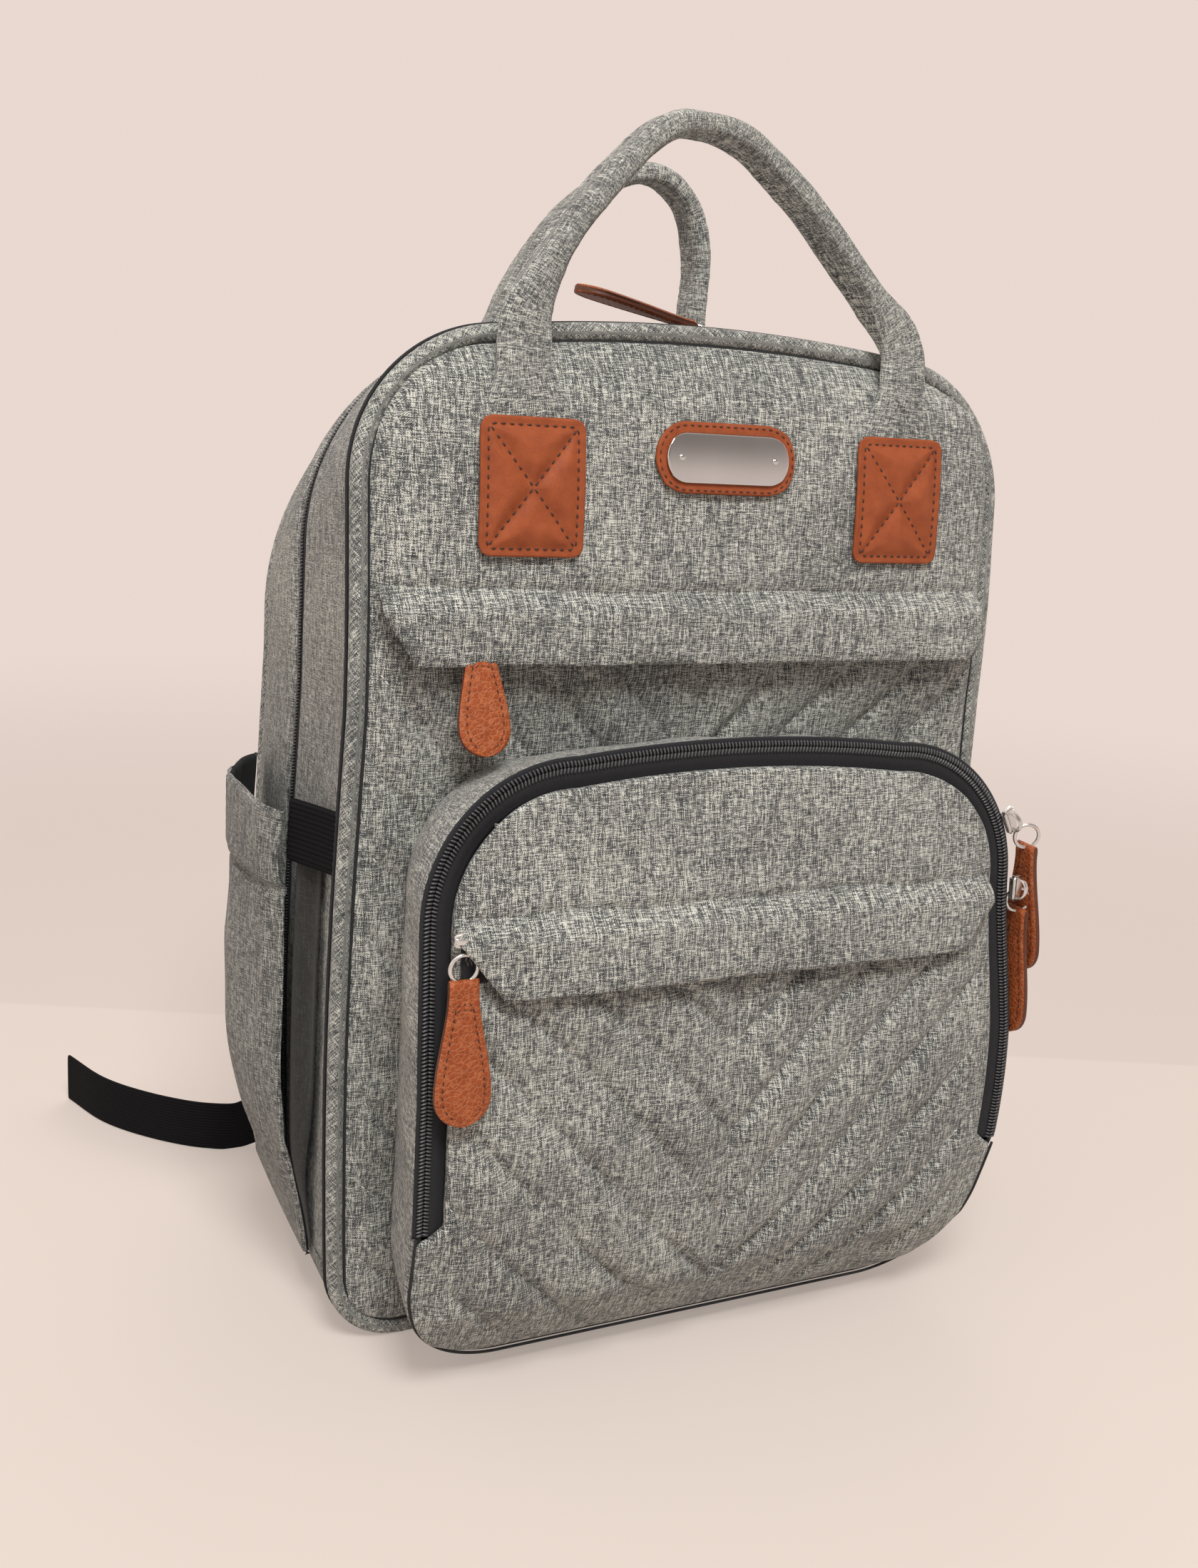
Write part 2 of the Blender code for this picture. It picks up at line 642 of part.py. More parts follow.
def flap(name, surface, top, bottom, half_top, half_bottom, chamfer_z, drop_out, axis_y):
    """A storm flap that hangs from its stitched top edge, with chamfered lower corners."""
    levels = (top - GAP, top - 0.0028, lerp(top, chamfer_z, 0.5), chamfer_z, lerp(chamfer_z, bottom, 0.5), bottom)
    front, back = [], []
    for z in levels:
        half = half_top if z >= chamfer_z else lerp(half_top, half_bottom, (chamfer_z - z) / (chamfer_z - bottom))
        row_out, row_in = [], []
        for j in range(11):
            x = half * (2.0 * j / 10 - 1.0)
            clear = FLAP_CLEAR if z < top - 0.001 else FLAP_SEWN_CLEAR
            y_in = surface(x, z) - clear - drop_out * (top - z) / (top - bottom)
            row_out.append((x, y_in - FLAP_THICK, z))
            row_in.append((x, y_in, z))
        front.append(row_out)
        back.append(row_in)
    piece = sheet_solid(name, front, back, FABRIC)
    move_origin(piece, (0, axis_y, top))


def welt(name, surface, x0, x1, z0, z1):
    """The flat tape of a zip that is set into a panel."""
    front, back = [], []
    for z in (z0, 0.5 * (z0 + z1), z1):
        xs = [lerp(x0, x1, j / 12) for j in range(13)]
        front.append([(x, surface(x, z) - WELT_OUTER, z) for x in xs])
        back.append([(x, surface(x, z) - WELT_INNER, z) for x in xs])
    sheet_solid(name, front, back, CHARCOAL, 0.7)


def patch(name, x_mid, z_mid, width, height, surface, colour, thick, roughness, lift=PATCH_LIFT, metallic=0.0,
          rounded=0.0):
    """A leather or metal piece that lies on a padded surface and follows it."""
    front, back = [], []
    for i in range(7):
        v = 2.0 * i / 6 - 1.0
        half = 0.5 * width - rounded * (1 - math.sqrt(max(0.0, 1 - v * v)))
        row_out, row_in = [], []
        for j in range(9):
            u = 2.0 * j / 8 - 1.0
            x, z = x_mid + u * half, z_mid + v * 0.5 * height
            y = surface(x, z) - lift
            row_out.append((x, y - thick, z))
            row_in.append((x, y, z))
        front.append(row_out)
        back.append(row_in)
    return sheet_solid(name, front, back, colour, roughness, metallic)


def build_front_details():
    flap("flap_upper", lid_surface, UPPER_FLAP_TOP, UPPER_FLAP_BOTTOM, 0.134, 0.123, 0.295, 0.0060, UPPER_FLAP_AXIS_Y)
    flap("flap_lower", pocket_face_y, LOWER_FLAP_TOP, LOWER_FLAP_BOTTOM, 0.1185, 0.102, 0.193, 0.0015,
         LOWER_FLAP_AXIS_Y)
    welt("upper_zip", lid_surface, -0.112, 0.112, 0.2880, 0.3050)
    welt("lower_zip", pocket_face_y, -0.1165, 0.108, 0.1765, 0.1935)
    for label, side in (("left", -1), ("right", 1)):
        patch(f"handle_patch_{label}", side * PATCH_X, PATCH_Z, PATCH_WIDTH, PATCH_HEIGHT, lid_surface, LEATHER,
              PATCH_THICK, 0.5)
    patch("badge_leather", 0.0, BADGE_Z, BADGE_WIDTH, BADGE_HEIGHT, lid_surface, LEATHER, BADGE_THICK, 0.5,
          rounded=0.010)
    top_of_badge = PATCH_LIFT + BADGE_THICK
    patch("badge_plate", 0.0, BADGE_Z, PLATE_WIDTH, PLATE_HEIGHT, lambda x, z: lid_surface(x, z) - top_of_badge,
          SILVER, PLATE_THICK, 0.15, lift=GAP, metallic=1.0, rounded=0.008)


# ---------------------------------------------------------------- sliders and leather pulls

def teardrop(length, top, wide):
    """Half-widths of a leather pull along its length, with a round end."""
    round_start = length - 0.5 * wide
    rows = [(0.0, 0.5 * top), (0.10 * length, 0.5 * top), (0.45 * length, lerp(0.5 * top, 0.5 * wide, 0.62)),
            (round_start - 0.002, 0.5 * wide)]
    for angle in (25, 45, 62, 76):
        a = math.radians(angle)
        rows.append((round_start + 0.5 * wide * math.sin(a), 0.5 * wide * math.cos(a)))
    return rows


def leather_pull(name, pivot, down, across, length=PULL_LENGTH, loop=RING_R):
    """A teardrop pull hanging below its ring; down and across are its own directions."""
    down, across = Vector(down).normalized(), Vector(across).normalized()
    normal = down.cross(across)
    start = Vector(pivot) + down * (loop + RING_WIRE + GAP)
    rings = []
    for distance, half in teardrop(length, PULL_TOP_WIDTH, PULL_WIDTH):
        centre = start + down * distance
        a, n = across * half, normal * (0.5 * PULL_THICK)
        rings.append([centre - a - n, centre + a - n, centre + a + n, centre - a + n])
    piece = ring_solid(name, rings, LEATHER, 0.5)
    move_origin(piece, pivot)


def ring(name, pivot, normal, radius=RING_R):
    """The wire ring between a slider and its pull."""
    normal = Vector(normal).normalized()
    first = normal.orthogonal().normalized()
    second = normal.cross(first)
    points = [Vector(pivot) + radius * (first * math.cos(a) + second * math.sin(a))
              for a in (2 * math.pi * i / 16 for i in range(16))]
    tube(name, points, RING_WIRE, SILVER, closed=True, roughness=0.2, metallic=1.0)


def build_sliders():
    # Upper welt zip: the pull leans forward and its tip hangs just clear of the pocket's top.
    x, z = UPPER_SLIDER
    block("upper_slider", (x, lid_surface(x, z) - 0.0028, z), (0.008, FLAT_SLIDER_THICK, 0.007), SILVER, 0.2, 1.0)
    ring_z = z - 0.0081
    pivot = (x, lid_surface(x, ring_z) - 0.0030, ring_z)
    tilt = math.radians(UPPER_PULL_TILT)
    ring("upper_ring", pivot, (0, 1, 0), UPPER_RING_R)
    leather_pull("upper_pull", pivot, (0.0, -math.sin(tilt), -math.cos(tilt)), (1, 0, 0), UPPER_PULL_LENGTH,
                 UPPER_RING_R)

    x, z = LOWER_SLIDER
    y = pocket_face_y(x, z - 0.0075) - 0.0031
    block("lower_slider", (x, y, z - 0.004), (0.007, FLAT_SLIDER_THICK, 0.007), SILVER, 0.2, 1.0)
    ring_z = z - 0.0142
    pivot = (x, pocket_face_y(x, ring_z - RING_R) - 0.0032, ring_z)
    ring("lower_ring", pivot, (0, 1, 0))
    leather_pull("lower_pull", pivot, (0, -0.10, -1), (1, 0, 0))

    # Two sliders on the right of the pocket zip, one at the corner and one on the straight run.
    cx, cz = POCKET_HALF_WIDTH - POCKET_CORNER, POCKET_TOP - POCKET_CROWN - POCKET_CORNER
    radius = POCKET_CORNER + 0.0032
    angle = math.radians(TOP_SLIDER_ANGLE)
    spots = (("pocket_slider_top", (cx + radius * math.cos(angle), cz + radius * math.sin(angle)), angle),
             ("pocket_slider_side", (POCKET_HALF_WIDTH + 0.0038, SIDE_SLIDER_Z), 0.0))
    for name, (sx, sz), lean in spots:
        turn = Matrix.Rotation(-lean, 3, "Y")
        block(name, (sx, rim_y(sz) + 0.0015, sz), POCKET_SLIDER_SIZE, SILVER, 0.2, 1.0, turn=turn)
    leather_pull("pocket_pull_top", TOP_RING, (0.09, 0.0, -1), (0, 1, 0))
    leather_pull("pocket_pull_side", SIDE_RING, (0.045, 0.0, -1), (0, 1, 0))

    # Main zip, closed at the middle of the top.
    top = outline_top(ZIP_Y, 0.0, MAIN_SLIDER_X)
    block("main_slider", (MAIN_SLIDER_X, MAIN_SLIDER_Y, top + 0.0036), MAIN_SLIDER_SIZE, SILVER, 0.2, 1.0,
          bevel=0.001)
    pivot = (MAIN_SLIDER_X - MAIN_SLIDER_SIZE[0], MAIN_SLIDER_Y, top + 0.0075)
    ring("main_ring", pivot, (0.28, 0, 1))
    leather_pull("main_pull", pivot, (-1, 0, 0.20), (0, 1, 0))


# ---------------------------------------------------------------- handles

def padded_loop(name, line, profile, axis):
    """A padded band in a plane across the bag; profile gives its depth along Y and its other width."""
    corner = math.cos(math.radians(22.5))
    rings = []
    for i, point in enumerate(line):
        ahead = line[min(i + 1, len(line) - 1)] - line[max(i - 1, 0)]
        tangent = Vector((ahead.x, 0.0, ahead.z)).normalized()
        normal = Vector((-tangent.z, 0.0, tangent.x))
        w, t = profile(i / (len(line) - 1))
        ring_points = []
        for k in range(8):
            a = math.radians(22.5 + 45 * k)
            flat = (math.cos(a) / corner, math.sin(a) / corner)
            ring_points.append(point + normal * (0.5 * t * flat[0]) + Vector((0, 1, 0)) * (0.5 * w * flat[1]))
        rings.append(ring_points)
    piece = ring_solid(name, rings, DARK_FABRIC, 0.9)
    move_origin(piece, axis)


def build_handles():
    front = [(-0.0820, -0.0778, 0.3740), (-0.0835, -0.0722, 0.3960), (-0.0800, -0.0685, 0.4140),
             (-0.0625, -0.0620, 0.4430), (-0.0330, -0.0605, 0.4745), (-0.0140, -0.0600, 0.4805),
             (0.0060, -0.0600, 0.4765), (0.0360, -0.0605, 0.4560), (0.0620, -0.0620, 0.4310),
             (0.0800, -0.0690, 0.4110), (0.0825, -0.0724, 0.3950), (0.0810, -0.0778, 0.3740)]

    def slim(t):
        """Flat at the two feet, and full where the band is gripped."""
        grip = smooth((min(t, 1.0 - t) - 0.12) / 0.18)
        return lerp(HANDLE_FOOT_DEPTH, HANDLE_WIDTH, grip), lerp(HANDLE_FOOT_WIDTH, HANDLE_THICK, grip)

    padded_loop("front_handle", spline_points(front, 2), slim, FRONT_HANDLE_AXIS)
    rear = [(-0.0480, 0.0620, 0.3950), (-0.0440, 0.0615, 0.4060), (-0.0330, 0.0605, 0.4280),
            (-0.0150, 0.0600, 0.4540), (0.0080, 0.0600, 0.4720), (0.0290, 0.0600, 0.4770),
            (0.0470, 0.0600, 0.4655), (0.0540, 0.0600, 0.4430), (0.0530, 0.0610, 0.4180), (0.0520, 0.0620, 0.3950)]
    padded_loop("rear_handle", spline_points(rear, 2), lambda t: (REAR_HANDLE_WIDTH, HANDLE_THICK), REAR_HANDLE_AXIS)


# ---------------------------------------------------------------- side pockets

def side_pocket_x(y, z, outward):
    """The side pocket's wall: flat at its ends and bulging between, fuller towards its top."""
    reach = (y - SIDE_POCKET_FRONT) / (SIDE_POCKET_BACK - SIDE_POCKET_FRONT)
    fullness = SIDE_POCKET_BULGE * smooth((z - 0.015) / 0.105)
    swell = math.sin(math.pi * min(max(reach, 0.0), 1.0)) ** 0.7
    return edge_x(y, 0.0, z) + SIDE_POCKET_CLEAR + fullness * swell + outward


def build_side_pockets():
    heights = (SIDE_POCKET_BOTTOM, 0.060, 0.090, 0.125, 0.170, SIDE_POCKET_TOP)
    steps = 12
    ys = [lerp(SIDE_POCKET_FRONT, SIDE_POCKET_BACK, i / steps) for i in range(steps + 1)]
    for label, side in (("left", -1), ("right", 1)):
        front = [[(side * side_pocket_x(y, z, SIDE_POCKET_WALL), y, z) for y in ys] for z in heights]
        back = [[(side * side_pocket_x(y, z, 0.0), y, z) for y in ys] for z in heights]
        sheet_solid(f"side_pocket_{label}", front, back, FABRIC)
        y0, y1 = FRONT_Y + SEAM + 0.001, SIDE_POCKET_FRONT - GAP
        faces = [[[(side * (edge_x(y, 0.0, z) + out), y, z) for y in (y0, 0.5 * (y0 + y1), y1)]
                  for z in (ELASTIC_BOTTOM, ELASTIC_TOP)] for out in (ELASTIC_OUTER, SIDE_POCKET_CLEAR)]
        sheet_solid(f"elastic_{label}", *faces, BLACK, 0.9)


# ---------------------------------------------------------------- shoulder straps

def flat_band(name, line, width_at, thick, colour, roughness=0.9):
    """A flat band along a line, with its thickness away from the back."""
    out = Vector((0, 1, 0))
    rings = []
    for i, point in enumerate(line):
        ahead = (line[min(i + 1, len(line) - 1)] - line[max(i - 1, 0)]).normalized()
        across = ahead.cross(out).normalized()
        face = across.cross(ahead).normalized()
        a = across * (0.5 * width_at(i / (len(line) - 1)))
        n = face * (0.5 * thick)
        rings.append([point - a - n, point + a - n, point + a + n, point - a + n])
    return ring_solid(name, rings, colour, roughness)


def build_straps():
    block("strap_yoke", YOKE_CENTRE, YOKE_SIZE, DARK_FABRIC, 0.9)
    for label, side in (("left", -1), ("right", 1)):
        pad_line = [(side * 0.048, 0.0905, 0.3340), (side * 0.060, 0.0960, 0.3000), (side * 0.078, 0.1010, 0.2450),
                    (side * 0.088, 0.1000, 0.1900), (side * 0.094, 0.0960, 0.1420)]
        line = spline_points(pad_line, 4)
        pad = flat_band(f"shoulder_strap_{label}", line, lambda t: lerp(STRAP_TOP_WIDTH, STRAP_FOOT_WIDTH, smooth(t)),
                        STRAP_THICK, DARK_FABRIC)
        move_origin(pad, (side * STRAP_TOP[0], *STRAP_TOP[1:]))
        web_line = [(side * 0.0948, 0.0952, 0.1385), (side * 0.1020, 0.0900, 0.1080), (side * 0.1130, 0.0855, 0.0760),
                    (side * 0.1190, 0.0850, 0.0565)]
        flat_band(f"strap_webbing_{label}", spline_points(web_line, 4), lambda t: WEBBING, WEBBING_THICK, BLACK)
        tilt = Matrix.Rotation(side * math.radians(-13), 3, "Y") @ Matrix.Rotation(math.radians(-10), 3, "X")
        lock = (side * LOCK_CENTRE[0], *LOCK_CENTRE[1:])
        block(f"ladder_lock_{label}", lock, LOCK_SIZE, BLACK, 0.4, turn=tilt, bevel=0.0008)
        anchor = (side * ANCHOR_CENTRE[0], *ANCHOR_CENTRE[1:])
        block(f"strap_anchor_{label}", anchor, ANCHOR_SIZE, DARK_FABRIC, 0.9)

    tail = [(-0.1010, 0.1040, 0.1000), (-0.1050, 0.1060, 0.0600), (-0.1160, 0.1065, 0.0260),
            (-0.1370, 0.1065, 0.0129), (-0.1560, 0.1090, 0.0129), (-0.1790, 0.1270, 0.0129),
            (-0.1990, 0.1520, 0.0129), (-0.2120, 0.1840, 0.0129)]
    webbing_tail("strap_tail_left", tail)
    tail = [(0.1010, 0.1040, 0.1000), (0.1040, 0.1060, 0.0600), (0.1120, 0.1070, 0.0260),
            (0.1260, 0.1100, 0.0129), (0.1360, 0.1230, 0.0129), (0.1370, 0.1400, 0.0129)]
    webbing_tail("strap_tail_right", tail)


def webbing_tail(name, points):
    """The loose end of a strap: it hangs flat, then turns to stand on its edge on the floor."""
    line = spline_points(points, 4)
    up, outward = Vector((0, 0, 1)), Vector((0, 1, 0))
    rings = []
    for i, point in enumerate(line):
        tangent = (line[min(i + 1, len(line) - 1)] - line[max(i - 1, 0)]).normalized()
        flat = Vector((tangent.x, tangent.y, 0.0))
        thin = up.cross(flat).normalized() if flat.length > 0.05 else outward
        if flat.length <= LYING_FLAT:
            thin = outward.lerp(thin if thin.y > 0 else -thin, smooth(flat.length / LYING_FLAT))
            thin = (thin - tangent * thin.dot(tangent)).normalized()
        thin = thin if thin.y > 0 else -thin
        wide = tangent.cross(thin).normalized()
        a, n = wide * (0.5 * WEBBING), thin * (0.5 * WEBBING_THICK)
        rings.append([point - a - n, point + a - n, point + a + n, point - a + n])
    ring_solid(name, rings, BLACK, 0.9)


def main():
    for obj in list(bpy.data.objects):
        bpy.data.objects.remove(obj, do_unlink=True)
    build_body()
    build_panels()
    build_pocket()
    build_front_details()
    build_sliders()
    build_handles()
    build_side_pockets()
    build_straps()


main()
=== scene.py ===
"""The finished look of a backpack-style diaper bag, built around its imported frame.

Units are metres and +Z is up. The bag stands on the floor with its front towards -Y.
"""
import math

import bmesh
import bpy
import numpy as np
from mathutils import Matrix, Vector


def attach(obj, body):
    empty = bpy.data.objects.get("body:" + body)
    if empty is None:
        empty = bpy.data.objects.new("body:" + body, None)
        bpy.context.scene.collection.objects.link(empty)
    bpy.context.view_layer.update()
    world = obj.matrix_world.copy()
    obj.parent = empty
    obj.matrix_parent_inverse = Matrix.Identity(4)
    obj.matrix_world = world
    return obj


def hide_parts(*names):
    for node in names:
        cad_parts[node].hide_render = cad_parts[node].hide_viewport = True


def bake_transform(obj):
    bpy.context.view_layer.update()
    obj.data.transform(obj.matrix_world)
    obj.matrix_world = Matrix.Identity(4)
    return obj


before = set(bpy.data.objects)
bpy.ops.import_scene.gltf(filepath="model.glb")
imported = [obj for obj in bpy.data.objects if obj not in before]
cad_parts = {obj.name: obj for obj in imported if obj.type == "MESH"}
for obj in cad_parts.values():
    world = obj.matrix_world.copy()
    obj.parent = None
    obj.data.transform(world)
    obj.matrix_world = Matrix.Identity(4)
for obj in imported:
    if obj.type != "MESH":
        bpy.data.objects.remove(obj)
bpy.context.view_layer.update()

# ---------------------------------------------------------------- sizes shared with the frame

FRONT_Y, BACK_Y = -0.068, 0.068
FRONT_HALF_WIDTH, BACK_HALF_WIDTH = 0.1435, 0.141
FRONT_TOP, BACK_TOP = 0.409, 0.393
FRONT_SHOULDER, BACK_SHOULDER = 0.058, 0.112
TOP_CROWN, TOP_PUFF, BASE_CORNER, SIDE_BULGE = 0.005, 0.006, 0.030, 0.0035
LEAN_START, LEAN_DEPTH = 0.270, 0.010
ZIP_Y = 0.008
FOLD_Z, FOLD_Y = 0.262, -0.0728
LID_BULGE, LID_BULGE_Z, LID_BULGE_SPREAD = 0.012, 0.350, 0.055
PIPING_R, PIPING_CORD_R, SEAM = 0.003, 0.0034, 0.0036
POCKET_HALF, POCKET_TOP, POCKET_CORNER, POCKET_CROWN = 0.1305, 0.260, 0.059, 0.0045
POCKET_FOOT_INSET, POCKET_BOTTOM, POCKET_BOTTOM_CORNER = 0.0105, 0.009, 0.045
POCKET_BULGE_RIGHT, POCKET_FOLD_Z, POCKET_FOLD_Y, POCKET_PUFF = 0.009, 0.078, -0.1322, 0.003
SIDE_POCKET_BULGE, SIDE_POCKET_FRONT, SIDE_POCKET_BACK, CUFF_Z = 0.0215, -0.042, 0.052, 0.187
WEBBING = 0.025
MM = 0.001
CLOTH_THICK, FACE_THICK, TAPE_THICK = 0.0022, 0.0024, 0.0008
FORWARD, BACKWARD = (0.0, -1.0, 0.0), (0.0, 1.0, 0.0)
SIDES = (("left", -1), ("right", 1))


# ---------------------------------------------------------------- small maths

def lerp(a, b, t):
    return a + (b - a) * t


def smooth(t):
    t = np.clip(t, 0.0, 1.0)
    return t * t * (3.0 - 2.0 * t)


def bump(t):
    return np.where(np.abs(t) < 1.0, (1.0 - np.minimum(t * t, 1.0)) ** 2, 0.0)


def bell(t):
    return np.exp(-t ** 2)


def quarter_round(t):
    """The rise of a quarter circle, 0 to 1 as t goes from 0 to 1."""
    return np.sqrt(1.0 - (1.0 - t) ** 2)


def unit(vectors):
    return vectors / np.maximum(np.linalg.norm(vectors, axis=-1, keepdims=True), 1e-12)


def ripple(u, v, scale, seed, waves=7):
    """Soft irregular waves, about -1 to 1, whose lengths are near scale."""
    rng = np.random.default_rng(seed)
    total = 0.0
    for _ in range(waves):
        angle, length, phase = rng.uniform(0, 2 * math.pi), scale * rng.uniform(0.6, 1.7), rng.uniform(0, 2 * math.pi)
        total = total + np.sin(2 * math.pi * (u * math.cos(angle) + v * math.sin(angle)) / length + phase)
    return total / math.sqrt(waves) * 0.75


def creases(u, v, scale, seed, stretch=4.0, turn=0.0):
    """Ridged, stretched waves: the small folds of slack cloth, 0 to 1."""
    c, s = math.cos(turn), math.sin(turn)
    a, b = u * c + v * s, (-u * s + v * c) / stretch
    a = a + 0.35 * scale * ripple(a, b, scale * 2.2, seed + 1)
    return np.clip(1.0 - 1.6 * np.abs(ripple(a, b, scale, seed)), 0.0, 1.0) ** 1.5


def steps_of(points):
    """The distance along a polyline at each of its points."""
    return np.r_[0.0, np.cumsum(np.linalg.norm(np.diff(points, axis=0), axis=1))]


def read_off(at, steps, values):
    """Rows of values known at steps, read off at the distances in at."""
    return np.stack([np.interp(at, steps, values[:, k]) for k in range(values.shape[1])], axis=1)


def resample(points, count):
    """count points at even steps along a polyline of any dimension."""
    points = np.asarray(points, float)
    steps = steps_of(points)
    return read_off(np.linspace(0.0, steps[-1], count), steps, points)


def closed_run(loop, count):
    """count points at even steps round a closed loop, with its first point at both ends."""
    return resample(np.vstack([loop, loop[:1]]), count)


def at_depth(line, y):
    """Points in space from a line of (x, z), at depth y."""
    return np.stack([line[:, 0], np.broadcast_to(y, len(line)), line[:, 1]], 1)


def facing(direction, count):
    return np.tile(direction, (count, 1))


def spline(points, per_span=12):
    """A smooth Catmull-Rom line through points."""
    p = np.asarray(points, float)
    p = np.vstack([2 * p[0] - p[1], p, 2 * p[-1] - p[-2]])
    line = []
    for a, b, c, d in zip(p, p[1:], p[2:], p[3:]):
        for i in range(per_span):
            t = i / per_span
            line.append(0.5 * (2 * b + (c - a) * t + (2 * a - 5 * b + 4 * c - d) * t ** 2
                               + (3 * b - a - 3 * c + d) * t ** 3))
    line.append(p[-2])
    return np.array(line)


def arc(centre, radius, start, stop, steps):
    angles = np.radians(np.linspace(start, stop, steps + 1))
    return np.stack([centre[0] + radius * np.cos(angles), centre[1] + radius * np.sin(angles)], axis=1)


# ---------------------------------------------------------------- materials

def node(tree, kind, inputs=None, **settings):
    """A shader node; an input that is a socket is linked, and any other value is set."""
    made = tree.nodes.new("ShaderNode" + kind)
    for key, value in settings.items():
        setattr(made, key, value)
    for key, value in (inputs or {}).items():
        if isinstance(value, bpy.types.NodeSocket):
            tree.links.new(value, made.inputs[key])
        else:
            made.inputs[key].default_value = value
    return made


def calc(tree, operation, a, b=0.0, c=0.0):
    return node(tree, "Math", {0: a, 1: b, 2: c}, operation=operation).outputs[0]


def wave(tree, value, pitch):
    return calc(tree, "SINE", calc(tree, "MULTIPLY", value, math.pi / pitch))


def centred(tree, value, gain, base):
    """base plus gain times how far value is from a half."""
    return calc(tree, "MULTIPLY_ADD", calc(tree, "SUBTRACT", value, 0.5), gain, base)


def span(tree, value, low, high, kind="LINEAR"):
    """0 to 1 as value goes from low to high."""
    return node(tree, "MapRange", {"Value": value, "From Min": low, "From Max": high},
                interpolation_type=kind).outputs[0]


def grain_noise(tree, scale, detail):
    place_on = node(tree, "TexCoord").outputs["Object"]
    return node(tree, "TexNoise", {"Vector": place_on, "Scale": scale, "Detail": detail}).outputs["Fac"]


def scaled(colour, share):
    return tuple(c * share for c in colour)


def feed(tree, shader, **sockets):
    """Link outputs to the shader's inputs."""
    for key, value in sockets.items():
        tree.links.new(value, shader.inputs[key.replace("_", " ")])


def ramp(tree, factor, stops):
    made = node(tree, "ValToRGB", {"Fac": factor})
    elements = made.color_ramp.elements
    while len(elements) < len(stops):
        elements.new(0.5)
    for element, (place, colour) in zip(elements, stops):
        element.position = place
        element.color = (*colour, 1.0)
    return made.outputs[0]


def blend_colour(tree, factor, a, b):
    made = node(tree, "Mix", data_type="RGBA", blend_type="MIX")
    for index, value in ((0, factor), (6, a), (7, b)):
        if isinstance(value, bpy.types.NodeSocket):
            tree.links.new(value, made.inputs[index])
        else:
            made.inputs[index].default_value = value if index == 0 else (*value, 1.0)
    return made.outputs[2]


def start_material(name, roughness, metallic=0.0, **sockets):
    mat = bpy.data.materials.new(name)
    mat.use_nodes = True
    tree = mat.node_tree
    shader = tree.nodes["Principled BSDF"]
    shader.inputs["Roughness"].default_value = roughness
    shader.inputs["Metallic"].default_value = metallic
    for key, value in sockets.items():
        shader.inputs[key.replace("_", " ")].default_value = value
    return mat, tree, shader


def cloth_axes(tree, turn=0.0):
    """The cloth's own coordinates in millimetres, across and along the threads."""
    place = node(tree, "UVMap", uv_map="Cloth").outputs[0]
    turned = node(tree, "Mapping", {"Vector": place, "Rotation": (0.0, 0.0, turn),
                                    "Scale": (1.0 / MM, 1.0 / MM, 1.0)})
    parts = node(tree, "SeparateXYZ", {0: turned.outputs[0]})
    return parts.outputs[0], parts.outputs[1]


def stretched_noise(tree, u, v, across, along, detail=2.0, seed=0.0):
    where = node(tree, "CombineXYZ", {0: calc(tree, "DIVIDE", u, across), 1: calc(tree, "DIVIDE", v, along),
                                      2: seed})
    return node(tree, "TexNoise", {"Vector": where.outputs[0], "Scale": 1.0, "Detail": detail,
                                   "Roughness": 0.55}).outputs["Fac"]


def finish_bump(tree, shader, height, distance, strength=1.0):
    made = node(tree, "Bump", {"Height": height, "Distance": distance, "Strength": strength})
    tree.links.new(made.outputs[0], shader.inputs["Normal"])


def heather(name, tone=1.0, turn=0.0, pitch=0.43, contrast=1.0):
    """Plain-woven melange cloth: pale and blue-black threads that cross over and under."""
    mat, tree, shader = start_material(name, 0.88, Sheen_Weight=0.12, Sheen_Roughness=0.5)
    u, v = cloth_axes(tree, turn)
    thin, slub = pitch * 0.75, pitch * 1.3
    warp = stretched_noise(tree, u, v, thin, 3.0, 2.0, 1.7)
    weft = stretched_noise(tree, u, v, 2.6, thin, 2.0, 9.2)
    slub_up = stretched_noise(tree, u, v, slub, 11.0, 1.0, 4.4)
    slub_across = stretched_noise(tree, u, v, 11.0, slub, 1.0, 6.1)
    wave_u, wave_v = wave(tree, u, pitch), wave(tree, v, pitch)
    over = span(tree, calc(tree, "MULTIPLY", wave_u, wave_v), -0.35, 0.35)
    warp, weft = centred(tree, slub_up, 0.50, warp), centred(tree, slub_across, 0.42, weft)
    thread = node(tree, "Mix", {0: over, 2: weft, 3: warp}, data_type="FLOAT").outputs[0]
    broad = stretched_noise(tree, u, v, 60.0, 60.0, 2.0, 2.2)
    thread = centred(tree, centred(tree, broad, 0.10, thread), 1.5 * contrast, 0.5)
    feed(tree, shader, Base_Color=ramp(tree, thread, ((0.32, scaled((0.021, 0.024, 0.029), tone)),
                                                      (0.50, scaled((0.130, 0.139, 0.134), tone)),
                                                      (0.68, scaled((0.64, 0.65, 0.59), tone)))))
    round_u, round_v = calc(tree, "ABSOLUTE", wave_u), calc(tree, "ABSOLUTE", wave_v)
    height = node(tree, "Mix", {0: over, 2: round_v, 3: round_u}, data_type="FLOAT").outputs[0]
    finish_bump(tree, shader, calc(tree, "MULTIPLY_ADD", thread, 0.7, height), 0.00022, 0.55)
    return mat


